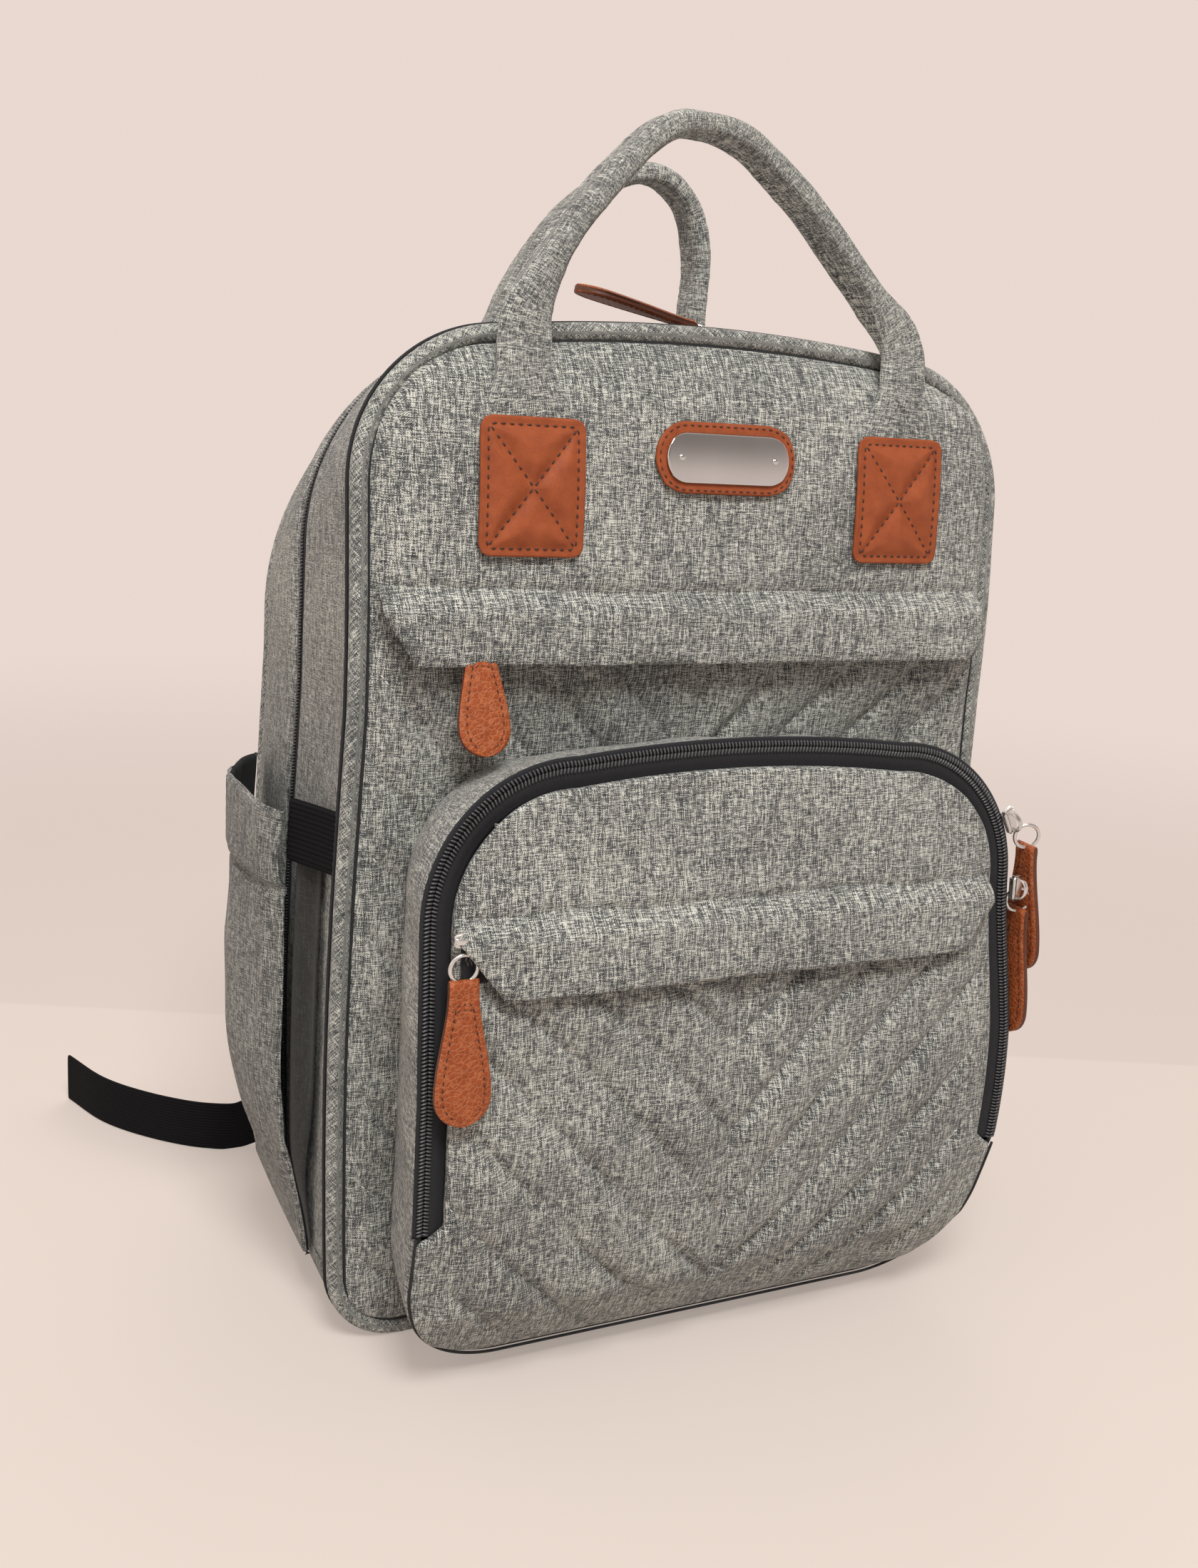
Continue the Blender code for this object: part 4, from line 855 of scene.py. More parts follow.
def quilt_height(x, z):
    """How far quilted cloth stands out between its sewn lines."""
    off, _ = quilt_place(x, z)
    middle = np.abs(x)
    off = np.minimum(off, 0.55 * middle + 0.0005)
    t = np.clip(off / (0.5 * QUILT_PITCH), 0, 1)
    puff = 0.55 * (1.0 - np.exp(-(off / 0.0021) ** 1.6)) + 0.45 * (1.0 - (1.0 - t) ** 2)
    uneven = 0.75 + 0.35 * ripple(x, z, 0.045, 33)
    return QUILT_HEIGHT * puff * np.clip(uneven, 0.25, 1.3)


def quilt_lines(x_range, z_range, surface, region, step=0.0015):
    """Runs of stitches along the V lines where region(x, z) allows them."""
    runs = []
    length = math.hypot(1.0, QUILT_SLOPE)
    low = int(math.floor((z_range[0] - QUILT_SLOPE * x_range) / length / QUILT_PITCH)) - 1
    high = int(math.ceil(z_range[1] / length / QUILT_PITCH)) + 1
    for number in range(low, high + 1):
        for side in (-1, 1):
            x = np.arange(0.0, x_range, step / length) * side
            z = number * QUILT_PITCH * length + QUILT_SLOPE * np.abs(x)
            for _ in range(3):
                z = (number - quilt_wander(x, z)) * QUILT_PITCH * length + QUILT_SLOPE * np.abs(x)
            keep = region(x, z)
            edges = np.flatnonzero(np.diff(np.r_[0, keep.astype(int), 0]))
            for a, b in zip(edges[::2], edges[1::2]):
                if b - a > 6:
                    points = np.stack([x[a:b], surface(x[a:b], z[a:b]), z[a:b]], 1)
                    runs.append((points, facing(FORWARD, b - a)))
    return runs


# ---------------------------------------------------------------- front of the body

FLAP_TOP, FLAP_BOTTOM = 0.311, 0.283
LOWER_FLAP_TOP, LOWER_FLAP_BOTTOM = 0.2005, 0.171
FRONT_EDGE, FRONT_THREAD_EDGE = 0.137, 0.1335


def front_shape(x, z):
    """Depth of the whole front, with quilting below the upper flap."""
    y = lid_surface(x, z)
    quilted = smooth((FLAP_BOTTOM + 0.012 - z) / 0.010)
    y = y - quilted * (quilt_height(x, z) - QUILT_SINK) * smooth((FRONT_EDGE - np.abs(x)) / 0.012) * 0.85
    plain_part = 1.0 - quilted
    slack = ripple(x, z * 0.6, 0.085, 5) * 0.0009 + creases(x, z, 0.05, 14, 3.0, 0.5) * -0.0006
    edge = smooth((FRONT_EDGE - np.abs(x)) / 0.03) * smooth((0.400 - z) / 0.03)
    y = y + slack * plain_part * edge
    # The cloth stands out to meet the upper flap and dips where the flap is sewn on.
    y = y - 0.0015 * smooth((z - FLAP_TOP + 0.003) / 0.003) * (1.0 - smooth((z - FLAP_TOP) / 0.022)) * edge
    return y + 0.0008 * bell((z - FLAP_TOP) / 0.0012) * smooth((FRONT_EDGE - np.abs(x)) / 0.01)


def build_front():
    loop = body_loop(FRONT_Y, PIPING_R + SEAM * 0.55)
    grid = fill_loop(loop, corner_places(loop, (0.133, 0.0145), (0.121, 0.386)), 206, 284)
    x, z = grid[..., 0], grid[..., 1]
    # The padded front rolls back to the seam beside the piping.
    near = np.clip((edge_distance(grid, 0.0013) - 0.0018) / 0.012, 0, 1)
    y = lerp(front_y(z) - 0.0004, front_shape(x, z), quarter_round(near))
    outer = np.stack([x, y, z], -1)
    piece = shell("front_skin", outer, grid, FABRIC, CLOTH_THICK, FORWARD, lining=LINING_AND_SEAM_SHADE)
    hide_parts("front_panel_lower", "front_panel_upper")
    blend_lid(piece)

    def in_band(x, z):
        return (z < FLAP_BOTTOM + 0.002) & (z > FOLD_Z + 0.001) & (np.abs(x) < FRONT_THREAD_EDGE)

    def below(x, z):
        return (z < FOLD_Z - 0.001) & (z > 0.03) & (np.abs(x) < FRONT_THREAD_EDGE) & outside_pocket(x, z)

    for name, region, body in (("quilt_thread_lid", in_band, "lid"), ("quilt_thread_bag", below, "bag")):
        sew(name, quilt_lines(0.134, (0.0, 0.30), lambda x, z: front_shape(x, z) + 0.0001, region), QUILT_STITCH,
            body)


def outside_pocket(x, z):
    """True where the front isn't covered by the pocket's foot."""
    loop, _ = pocket_loop(POCKET_FOOT_INSET - 0.003)
    z_top = np.interp(np.abs(x), loop[29:60, 0][::-1], loop[29:60, 1][::-1])
    return (z > z_top) | (np.abs(x) > POCKET_HALF - POCKET_FOOT_INSET + 0.004)


def piping_line(body_y, inset, count):
    """A closed run round the body's front or rear edge, anticlockwise from the base's middle."""
    loop = closed_run(body_loop(body_y, inset), count)[:-1]
    return at_depth(loop, front_y(loop[:, 1]) if body_y == FRONT_Y else body_y)


def build_piping():
    line = piping_line(FRONT_Y, PIPING_R, 421)
    line[:, 1] += 0.0003 * ripple(line[:, 0], line[:, 2], 0.05, 3)
    cord = sweep("front_piping", line, round_section(PIPING_CORD_R, 16), BIAS, closed=True)
    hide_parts("front_piping_lower", "front_piping_upper")
    blend_lid(cord)
    # Thin black cords in the crevices on both sides of the front piping: painted shade along its seams.
    for name, inset, back in (("front_seam_shadow_inner", 0.0066, -0.0014), ("front_seam_shadow_outer", -0.0001, 0.0040)):
        line = piping_line(FRONT_Y, inset, 421)
        line[:, 1] += back
        blend_lid(sweep(name, line, round_section(0.0007, 8), LINING_AND_SEAM_SHADE, closed=True))
    cord = sweep("rear_piping_cord", piping_line(BACK_Y, PIPING_R, 361), round_section(PIPING_CORD_R, 14), BIAS,
                 closed=True)
    place(cord, "bag", "heather_fabric", "rear_piping")


# ---------------------------------------------------------------- sides and top

def strip(name, y_values, puff, seed, on_lid, *nodes):
    """A long strip of the body from one side's foot over the top to the other side's."""
    rows = [at_depth(around_top(y, 0.0, BASE_CORNER, 70, 110), y) for y in y_values]
    points = np.stack(rows, 1)  # along the strip, then across it
    share = np.linspace(0, 1, len(y_values))[None, :]
    uv = metric_uv(points)
    out = grid_normals(points)
    if np.mean(out[..., 2][150:-150]) < 0:
        out = -out
    along, across = uv[..., 1], uv[..., 0]
    swell = puff * (1.0 - np.abs(2 * share - 1) ** 4)
    slack = 0.0010 * ripple(along * 0.8, across, 0.07, seed) + 0.0007 * creases(across, along, 0.03, seed + 5, 3.5, 0.2)
    shape = swell + slack * (1.0 - np.abs(2 * share - 1) ** 3)
    dip = -0.0011 * (bell(share / 0.035) + bell((1 - share) / 0.035))
    points = points + out * (shape + dip)[..., None]
    if on_lid:
        near = smooth(1.0 - share * 1.15)
        points[..., 1] += (front_y(points[..., 2]) - FRONT_Y) * near
    piece = shell(name, points, uv, SIDE, CLOTH_THICK, out, lining=LINING_AND_SEAM_SHADE)
    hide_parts(*nodes)
    if on_lid:
        blend_lid(piece)
    else:
        place(piece, "bag", "heather_fabric")


def build_sides():
    front = np.linspace(FRONT_Y + 0.0030, ZIP_Y - 0.0031, 40)
    rear = np.linspace(ZIP_Y + 0.0031, BACK_Y - 0.0030, 36)
    strip("side_front", front, -0.0012, 21, True, "top_gusset_front", "side_panel_left", "side_panel_right")
    strip("side_rear", rear, 0.0010, 42, False, "top_gusset_rear")
    # Base
    columns = []
    for y in np.linspace(FRONT_Y + 0.003, BACK_Y - 0.003, 50):
        line = half_outline(y)
        line = line[line[:, 1] <= BASE_CORNER + 0.0015]
        line = line[:np.argmax(line[:, 0]) + 1]
        full = np.vstack([(line[1:] * (-1, 1))[::-1], line])
        full = resample(full, 120)
        full[:, 1] = np.maximum(full[:, 1], 0.0)
        columns.append(at_depth(full, y))
    points = np.stack(columns, 1)
    # Small feet of slack keep the middle just off the floor.
    points[..., 2] += 0.0012 * bump(points[..., 0] / 0.12) * bump(points[..., 1] / 0.06)
    piece = shell("base_skin", points, metric_uv(points), DARK, CLOTH_THICK, (0, 0, -1), lining=LINING_AND_SEAM_SHADE)
    place(piece, "bag", "heather_fabric", "base_panel")


# One tooth is a bar of rings: how far along the bar each is, and how thick, both times the tooth's size.
TOOTH_RINGS, TOOTH_SIDES, TOOTH_LEAN = ((-1.0, 0.45), (-0.55, 1.0), (0.55, 1.0), (1.0, 0.45)), 6, 0.22
TOOTH_SIZE, TOOTH_PITCH, TOOTH_OFFSET = (1.05 * MM, 0.42 * MM, 0.50 * MM), 1.35 * MM, 0.00085
POCKET_TOOTH_SIZE, POCKET_TOOTH_PITCH, POCKET_TOOTH_OFFSET = (1.15 * MM, 0.42 * MM, 0.66 * MM), 1.45 * MM, 0.00120


def tooth_rows(name, line, normals, offsets, body, pitch=TOOTH_PITCH, size=TOOTH_SIZE):
    """Coil zip teeth: small rounded bars across the line, in one row for each offset."""
    line, normals = np.asarray(line, float), np.asarray(normals, float)
    steps = steps_of(line)
    count = int(steps[-1] / pitch)
    at = (np.arange(count) + 0.5) * pitch
    per_tooth = len(TOOTH_RINGS) * TOOTH_SIDES
    points, faces = [], []
    for row, offset in enumerate(offsets):
        where = at + (0.5 * pitch if row % 2 else 0.0)
        centre = read_off(where, steps, line)
        tangent = unit(read_off(where + 0.0005, steps, line) - read_off(where - 0.0005, steps, line))
        normal = unit(read_off(where, steps, normals))
        side = np.cross(tangent, normal)
        reach = side + np.sign(offset) * TOOTH_LEAN * tangent
        for shift, swell in TOOTH_RINGS:
            for k in range(TOOTH_SIDES):
                a = 2 * math.pi * k / TOOTH_SIDES
                points.append(centre + side * offset + reach * (shift * size[0])
                              + tangent * (size[1] * swell * math.cos(a))
                              + normal * (size[2] * swell * math.sin(a)))
    stacked = np.stack(points, 0).reshape(len(offsets), per_tooth, count, 3).transpose(0, 2, 1, 3).reshape(-1, 3)
    for n in range(len(offsets) * count):
        faces += tube_faces(len(TOOTH_RINGS), TOOTH_SIDES, per_tooth * n)
    place(make_mesh(name, stacked, faces, stacked[:, [0, 2]], [COIL]), body, "zip_tape")


ZIP_REACH, ZIP_GAP, ZIP_INSET = 0.0040, 0.0001, 0.0010


def zip_line(y, count):
    """The main zip's run above the fold, from the left over the top to the right."""
    return at_depth(around_top(y, ZIP_INSET, FOLD_Z + 0.0006, 2, count)[1:-1], y)


def build_main_zip():
    for name, y0, y1, body, cad in (
            ("zip_band_front", ZIP_Y - ZIP_REACH, ZIP_Y - ZIP_GAP, "lid", "main_zip_front"),
            ("zip_band_rear", ZIP_Y + ZIP_GAP, ZIP_Y + ZIP_REACH, "bag", "main_zip_rear")):
        points = np.stack([zip_line(y, 150) for y in np.linspace(y0, y1, 5)], 1)
        out = grid_normals(points)
        out = out if np.mean(out[..., 2][100:-100]) > 0 else -out
        place(shell(name, points, metric_uv(points), TAPE, TAPE_THICK, out), body, "zip_tape", cad)
    centre = zip_line(ZIP_Y, 220)
    tangent = np.gradient(centre, axis=0)
    normal = np.cross(tangent, BACKWARD)
    normal *= np.sign(normal[len(normal) // 2, 2])
    normal = unit(normal)
    centre = centre + normal * 0.0006
    side = np.sign(np.cross(tangent, normal)[len(normal) // 2, 1])
    tooth_rows("zip_teeth_front", centre, normal, (-TOOTH_OFFSET * side,), "lid")
    tooth_rows("zip_teeth_rear", centre, normal, (TOOTH_OFFSET * side,), "bag")
    # Below the fold both halves stay with the body and run down inside the side pockets.
    for label, sign in SIDES:
        z = np.linspace(0.040, FOLD_Z + 0.0004, 90)
        rows = [np.stack([sign * (edge_x(y, z) - ZIP_INSET), np.full_like(z, y), z], 1)
                for y in np.linspace(ZIP_Y - ZIP_REACH, ZIP_Y + ZIP_REACH, 7)]
        points = np.stack(rows, 1)
        place(shell(f"zip_band_{label}", points, metric_uv(points), TAPE, TAPE_THICK, (sign, 0, 0)), "bag", "zip_tape")
        line = np.stack([sign * (edge_x(ZIP_Y, z) - 0.0004), np.full_like(z, ZIP_Y), z], 1)
        tooth_rows(f"zip_teeth_{label}", line, facing((sign, 0.0, 0.0), len(z)), (-TOOTH_OFFSET, TOOTH_OFFSET), "bag")


# ---------------------------------------------------------------- front pocket

FACE_INSET = 0.0108


def mixed_loop(low_inset, high_inset):
    """The pocket's outline, set in further above the fold, where the zip runs."""
    below, _ = pocket_loop(low_inset)
    above, _ = pocket_loop(high_inset)
    share = smooth((below[:, 1] - (POCKET_FOLD_Z - 0.004)) / 0.008)[:, None]
    return lerp(below, above, share)


def pocket_shape(x, z):
    y = pocket_face_y(x, z)
    quilted = smooth((LOWER_FLAP_BOTTOM + 0.012 - z) / 0.010)
    edge = smooth((0.1225 - np.abs(x)) / 0.014) * smooth((z - 0.010) / 0.012) * smooth((0.250 - z) / 0.012)
    y = y - quilted * (quilt_height(x, z) - QUILT_SINK) * edge
    slack = 0.0010 * ripple(x, z, 0.075, 11) - 0.0007 * creases(x, z, 0.04, 19, 3.0, -0.5)
    y = y + slack * (1.0 - 0.6 * quilted) * edge
    # The stuffed lower part sags and rounds under towards the base.
    y = y + 0.006 * smooth((0.030 - z) / 0.024) ** 2 - 0.0015 * bump((z - 0.055) / 0.045) * edge
    y = y - 0.0015 * smooth((z - LOWER_FLAP_TOP + 0.003) / 0.003) * (1.0 - smooth((z - LOWER_FLAP_TOP) / 0.022)) * edge
    return y + 0.0008 * bell((z - LOWER_FLAP_TOP) / 0.0012) * edge


def build_pocket():
    loop = mixed_loop(0.0006, FACE_INSET)
    grid = fill_loop(loop, corner_places(loop, (0.117, 0.0225), (0.104, 0.235)), 210, 206)
    x, z = grid[..., 0], grid[..., 1]
    roll = 1.0 - np.clip(edge_distance(grid, 0.0012) / 0.0034, 0, 1)
    y = pocket_shape(x, z) + 0.0026 * (1.0 - np.sqrt(1.0 - roll ** 2))
    skin = shell("pocket_skin", np.stack([x, y, z], -1), grid, FABRIC, FACE_THICK, FORWARD, lining=LINING_AND_SEAM_SHADE)
    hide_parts("pocket_face", "pocket_face_lower")
    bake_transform(skin)

    def on_face(x, z):
        inside = np.abs(x) < np.interp(z, (0.015, 0.06, 0.2), (0.080, 0.118, 0.118))
        return (z > 0.018) & (z < LOWER_FLAP_BOTTOM + 0.002) & inside

    def above_fold(x, z):
        return on_face(x, z) & (z > POCKET_FOLD_Z + 0.001)

    def below_fold(x, z):
        return on_face(x, z) & (z < POCKET_FOLD_Z - 0.001)

    for name, body, keep in (("pocket_thread_door", "pocket_door", above_fold),
                             ("pocket_thread_foot", "bag", below_fold)):
        sew(name, quilt_lines(0.12, (0.0, 0.18), lambda x, z: pocket_shape(x, z) + 0.0001, keep), QUILT_STITCH, body)
    build_gusset()
    build_pocket_zip()


def build_gusset():
    """The pocket's wall between the body and its rim, and a thin black cord along the rim below the zip's ends: painted
    shade in that seam's crevice.
    """
    steps, layers, depth = 420, 22, 0.055
    both = closed_run(np.hstack([pocket_loop(0.0)[0], pocket_loop(POCKET_FOOT_INSET)[0]]), steps + 1)[:-1]
    rim, foot = both[:, :2], both[:, 2:]
    share = np.linspace(0, 1, layers)[None, :]
    place_xz = lerp(foot[:, None], rim[:, None], share[..., None])
    y = lerp(FRONT_Y - 0.0046, (rim_y(rim[:, 1]) + 0.0016)[:, None], share)
    out = np.roll(rim, -1, axis=0) - np.roll(rim, 1, axis=0)
    out = unit(np.stack([out[:, 1], -out[:, 0]], 1))
    along = steps_of(rim)[:, None]
    fullness = lerp(0.0020, 0.0004, smooth((rim[:, 1:2] - 0.235) / 0.015))
    arch = np.sin(math.pi * share)
    swell = fullness * arch + 0.0011 * ripple(along, share * 0.05, 0.055, 8) * arch
    swell = swell - 0.0012 * bell((1 - share) / 0.03)
    place_xz = place_xz + out[:, None] * swell[..., None]
    outer = np.stack([place_xz[..., 0], y, place_xz[..., 1]], -1)
    inner = outer.copy()
    inner[..., 0] -= out[:, :1] * CLOTH_THICK
    inner[..., 2] -= out[:, 1:] * CLOTH_THICK
    ring = np.concatenate([outer, inner[:, ::-1]], axis=1)
    around = np.concatenate([share * depth, share[:, ::-1] * depth], 1)
    uv = np.stack([np.broadcast_to(along, (steps, 2 * layers)), around.repeat(steps, 0)], -1)
    faces = grid_faces(steps, 2 * layers, 0, True, True)
    index = np.tile([0] * (layers - 1) + [1] * (layers + 1), steps)
    gusset = make_mesh("pocket_gusset", ring, faces, uv, [FABRIC, LINING_AND_SEAM_SHADE], index)
    place(gusset, "bag", "heather_fabric", "pocket_gusset_top", "pocket_gusset_left", "pocket_gusset_right",
          "pocket_bottom")
    # A thin black cord along the rim below the zip's ends: painted shade in the seam.
    edge_line, over = pocket_loop(0.0009)
    edge_line = resample(edge_line[over - 1:], 200)
    points = at_depth(edge_line, rim_y(edge_line[:, 1]) + 0.0006)
    place(sweep("pocket_foot_seam_shadow", points, round_section(0.0006, 8), LINING_AND_SEAM_SHADE), "bag", "heather_fabric")


def build_pocket_zip():
    """The outer tape and teeth are on the bag, and the inner ones on the opening face."""
    _, count = pocket_loop(-0.0002)
    for name, a, b, body, cad in (("pocket_tape_outer", -0.0002, 0.0034, "bag", "pocket_zip_coil"),
                                  ("pocket_tape_inner", 0.0035, 0.0126, "pocket_door", "pocket_zip_tape")):
        rows = []
        for inset in np.linspace(a, b, 7):
            line = resample(pocket_loop(inset)[0][:count], 260)
            rows.append(at_depth(line, rim_y(line[:, 1]) + 0.0014))
        points = np.stack(rows, 1)
        if body == "pocket_door":
            points[..., 1] += 0.0012 * smooth((np.linspace(a, b, 7) - 0.0075) / 0.003)[None]
        place(shell(name, points, metric_uv(points)[..., ::-1], TAPE, TAPE_THICK, FORWARD), body, "zip_tape", cad)
    middle = resample(pocket_loop(0.0034)[0][:count], 400)
    centre = at_depth(middle, rim_y(middle[:, 1]) + 0.0007)
    normal = facing(FORWARD, len(centre))
    side = np.sign(np.cross(np.gradient(centre, axis=0), normal)[10, 0])
    for name, offset, body in (("pocket_teeth_outer", POCKET_TOOTH_OFFSET, "bag"),
                               ("pocket_teeth_inner", -POCKET_TOOTH_OFFSET, "pocket_door")):
        tooth_rows(name, centre, normal, (offset * side,), body, POCKET_TOOTH_PITCH, POCKET_TOOTH_SIZE)


# ---------------------------------------------------------------- flaps, welt zips and leather patches

def flap_piece(name, surface, top, bottom, half_top, half_bottom, chamfer_z, right, drop_out, seed, body, cad):
    """A storm flap: sewn on at its top, chamfered at its lower corners, and standing off its surface below."""
    z = lerp(top, bottom, np.linspace(0, 1, 30))[:, None]
    u = np.linspace(-1, 1, 150)[None]
    half = np.where(z >= chamfer_z, half_top, lerp(half_top, half_bottom, (chamfer_z - z) / (chamfer_z - bottom)))
    x = u * np.where(u > 0, np.minimum(half, right), half)
    z = z + 0.0010 * smooth((0.3 * (top - z)) / (top - bottom)) * ripple(x, z, 0.09, seed)
    share = (top - z) / (top - bottom)
    clear = 0.0002 + 0.0045 * smooth(share * 3.0) + drop_out * share
    wave = 0.0012 * share * ripple(x, z * 0.3, 0.075, seed + 1) + 0.0005 * creases(x, z, 0.02, seed + 3, 2.0, 1.2)
    hem = 0.0006 * smooth((share - 0.86) / 0.1) + 0.0007 * smooth((np.abs(u) - 0.97) / 0.02)
    y = surface(x, z) - clear - 0.0022 * (0.3 + 0.7 * smooth(share * 5.0)) - wave * smooth(share * 3) + hem
    outer = np.stack([x, y, z], -1)
    piece = shell(name, outer, np.stack([x, z], -1), FABRIC, 0.0020, FORWARD, round_edge=0.35)
    place(piece, body, "heather_fabric", cad)


def seam_run(xs, z, surface, out):
    zs = np.full_like(xs, z)
    return np.stack([xs, surface(xs, zs) - out, zs], 1), facing(FORWARD, len(xs))


def build_flaps():
    flap_piece("flap_upper_cloth", lid_surface, FLAP_TOP, FLAP_BOTTOM, 0.1355, 0.1235, 0.301, 0.1300, 0.0040, 51,
               "upper_flap", "flap_upper")
    flap_piece("flap_lower_cloth", pocket_face_y, LOWER_FLAP_TOP, LOWER_FLAP_BOTTOM, 0.1190, 0.102, 0.193, 0.1165,
               0.0015, 61, "lower_flap", "flap_lower")
    for name, xs, top, surface, body in (
            ("flap_seam_upper", np.linspace(-0.134, 0.129, 158), FLAP_TOP, lid_surface, "lid"),
            ("flap_seam_lower", np.linspace(-0.1175, 0.1155, 139), LOWER_FLAP_TOP, pocket_face_y, "pocket_door")):
        sew(name, [seam_run(xs, top + 0.0012, surface, 0.0001)], FLAP_STITCH, body)
    for name, surface, x0, x1, z0, z1, body, cad in (
            ("welt_upper", lid_surface, -0.112, 0.112, 0.2880, 0.3050, "lid", "upper_zip"),
            ("welt_lower", pocket_face_y, -0.1165, 0.108, 0.1765, 0.1935, "pocket_door", "lower_zip")):
        x, z = np.meshgrid(np.linspace(x0, x1, 120), np.linspace(z0, z1, 14))
        outer = np.stack([x, surface(x, z) - 0.0011, z], -1)
        place(shell(name, outer, np.stack([x, z], -1), TAPE, 0.0010, FORWARD), body, "zip_tape", cad)
        points, normal = seam_run(np.linspace(x0 + 0.001, x1 - 0.001, 160), 0.5 * (z0 + z1), surface, 0.0012)
        tooth_rows(name + "_teeth", points, normal, (-TOOTH_OFFSET, TOOTH_OFFSET), body)


def rounded_loop(cx, cz, width, height, radius):
    """A rounded rectangle, anticlockwise from its lower right side."""
    steps = 12
    hx, hz = 0.5 * width - radius, 0.5 * height - radius
    parts = [arc((cx + hx, cz - hz), radius, -45, 0, steps), arc((cx + hx, cz + hz), radius, 0, 90, steps),
             arc((cx - hx, cz + hz), radius, 90, 180, steps), arc((cx - hx, cz - hz), radius, 180, 270, steps),
             arc((cx + hx, cz - hz), radius, -90, -45, steps)[:-1]]
    return np.vstack(parts)


def corners_of(loop, cx, cz, width, height, radius):
    dx, dz = 0.5 * width - 0.293 * radius, 0.5 * height - 0.293 * radius
    return [nearest(loop, cx + sx * dx, cz + sz * dz) for sx, sz in ((1, -1), (1, 1), (-1, 1), (-1, -1))]


def applique(name, cx, cz, width, height, radius, surface, lift, thick, mat, edge, size, relief=None):
    """A flat piece laid on a padded surface, with rounded corners and edges."""
    loop = rounded_loop(cx, cz, width, height, radius)
    grid = fill_loop(loop, corners_of(loop, cx, cz, width, height, radius), *size)
    x, z = grid[..., 0], grid[..., 1]
    roll = 1.0 - np.clip(edge_distance(grid, width / size[0]) / (0.6 * thick), 0, 1)
    y = surface(x, z) - lift - thick + 0.35 * thick * roll ** 2
    if relief is not None:
        y = y - relief(x - cx, z - cz)
    outer = np.stack([x, y, z], -1)
    return shell(name, outer, grid, mat, thick * 0.85, FORWARD, edge_mat=edge)


def loop_run(loop, surface):
    line = closed_run(loop, 200)
    return at_depth(line, surface(line[:, 0], line[:, 1]) - THREAD_LIFT), facing(FORWARD, len(line))


PATCH_X, PATCH_Z, PATCH_W, PATCH_H, PATCH_BORDER = 0.0806, 0.3477, 0.0420, 0.0508, 0.0034
LEATHER_LIFT, PATCH_THICK, THREAD_LIFT = 0.0006, 0.0022, 0.0001
BADGE_Z, BADGE_THICK = 0.361, 0.0020


def quilted_relief(u, w):
    """A patch's leather puffs between its border stitching and the crossed stitching."""
    du, dw = np.abs(u), np.abs(w)
    inner_u, inner_w = 0.5 * PATCH_W - PATCH_BORDER, 0.5 * PATCH_H - PATCH_BORDER
    slope = inner_w / inner_u
    cross = np.abs(dw - slope * du) / math.hypot(1.0, slope)
    cross = np.where((du < inner_u) & (dw < inner_w), cross, 1.0)
    border = np.maximum(du - inner_u, dw - inner_w)
    near = np.minimum(cross, np.abs(border))
    return 0.0022 * (1.0 - np.exp(-(near / 0.0036) ** 1.4)) * np.where(border > 0, 0.45, 1.0)


def build_patch(label, cx):
    def surface(x, z):
        return lid_surface(x, z) - LEATHER_LIFT - PATCH_THICK - quilted_relief(x - cx, z - PATCH_Z)

    piece = applique(f"patch_{label}", cx, PATCH_Z, PATCH_W, PATCH_H, 0.0056, lid_surface, LEATHER_LIFT, PATCH_THICK,
                     SMOOTH_LEATHER, LEATHER_EDGE, (52, 64), quilted_relief)
    place(piece, "lid", "brown_leather", f"handle_patch_{label}")
    iu, iw = 0.5 * PATCH_W - PATCH_BORDER, 0.5 * PATCH_H - PATCH_BORDER
    runs = [loop_run(rounded_loop(cx, PATCH_Z, 2 * iu, 2 * iw, 0.0026), surface)]
    for sign in (-1, 1):
        t = np.linspace(-0.97, 0.97, 60)
        x, z = cx + iu * t, PATCH_Z + sign * iw * t
        runs.append((np.stack([x, surface(x, z) - THREAD_LIFT, z], 1), facing(FORWARD, len(t))))
    sew(f"patch_thread_{label}", runs, PATCH_STITCH, "lid", "brown_leather")


def build_badge():
    """The leather badge and its plain riveted plate."""
    def badge_surface(x, z):
        return lid_surface(x, z) - 0.0026

    def plate_dome(u, w):
        return 0.0004 * (1 - (w / 0.0103) ** 2)

    badge = applique("badge_backing", 0.0, BADGE_Z, 0.0620, 0.0275, 0.0135, lid_surface, LEATHER_LIFT, BADGE_THICK,
                     SMOOTH_LEATHER, LEATHER_EDGE, (60, 32))
    place(badge, "lid", "brown_leather", "badge_leather")
    run = loop_run(rounded_loop(0.0, BADGE_Z, 0.0584, 0.0239, 0.0118), badge_surface)
    sew("badge_thread", [run], BADGE_STITCH, "lid", "brown_leather")
    plate = applique("badge_metal", 0.0, BADGE_Z, 0.0540, 0.0192, 0.0094, badge_surface, 0.0001, 0.0010, CHROME,
                     CHROME, (72, 32), plate_dome)
    place(plate, "lid", "nickel_hardware", "badge_plate")
    for label, side in SIDES:
        x = side * 0.0205
        centre = (x, depth_at(lid_surface, x, BADGE_Z) - 0.0042, BADGE_Z)
        place(dome(f"badge_rivet_{label}", centre, 0.0013, 0.0006, CHROME), "lid", "nickel_hardware")


def build_leather():
    for label, side in SIDES:
        build_patch(label, side * PATCH_X)
    build_badge()


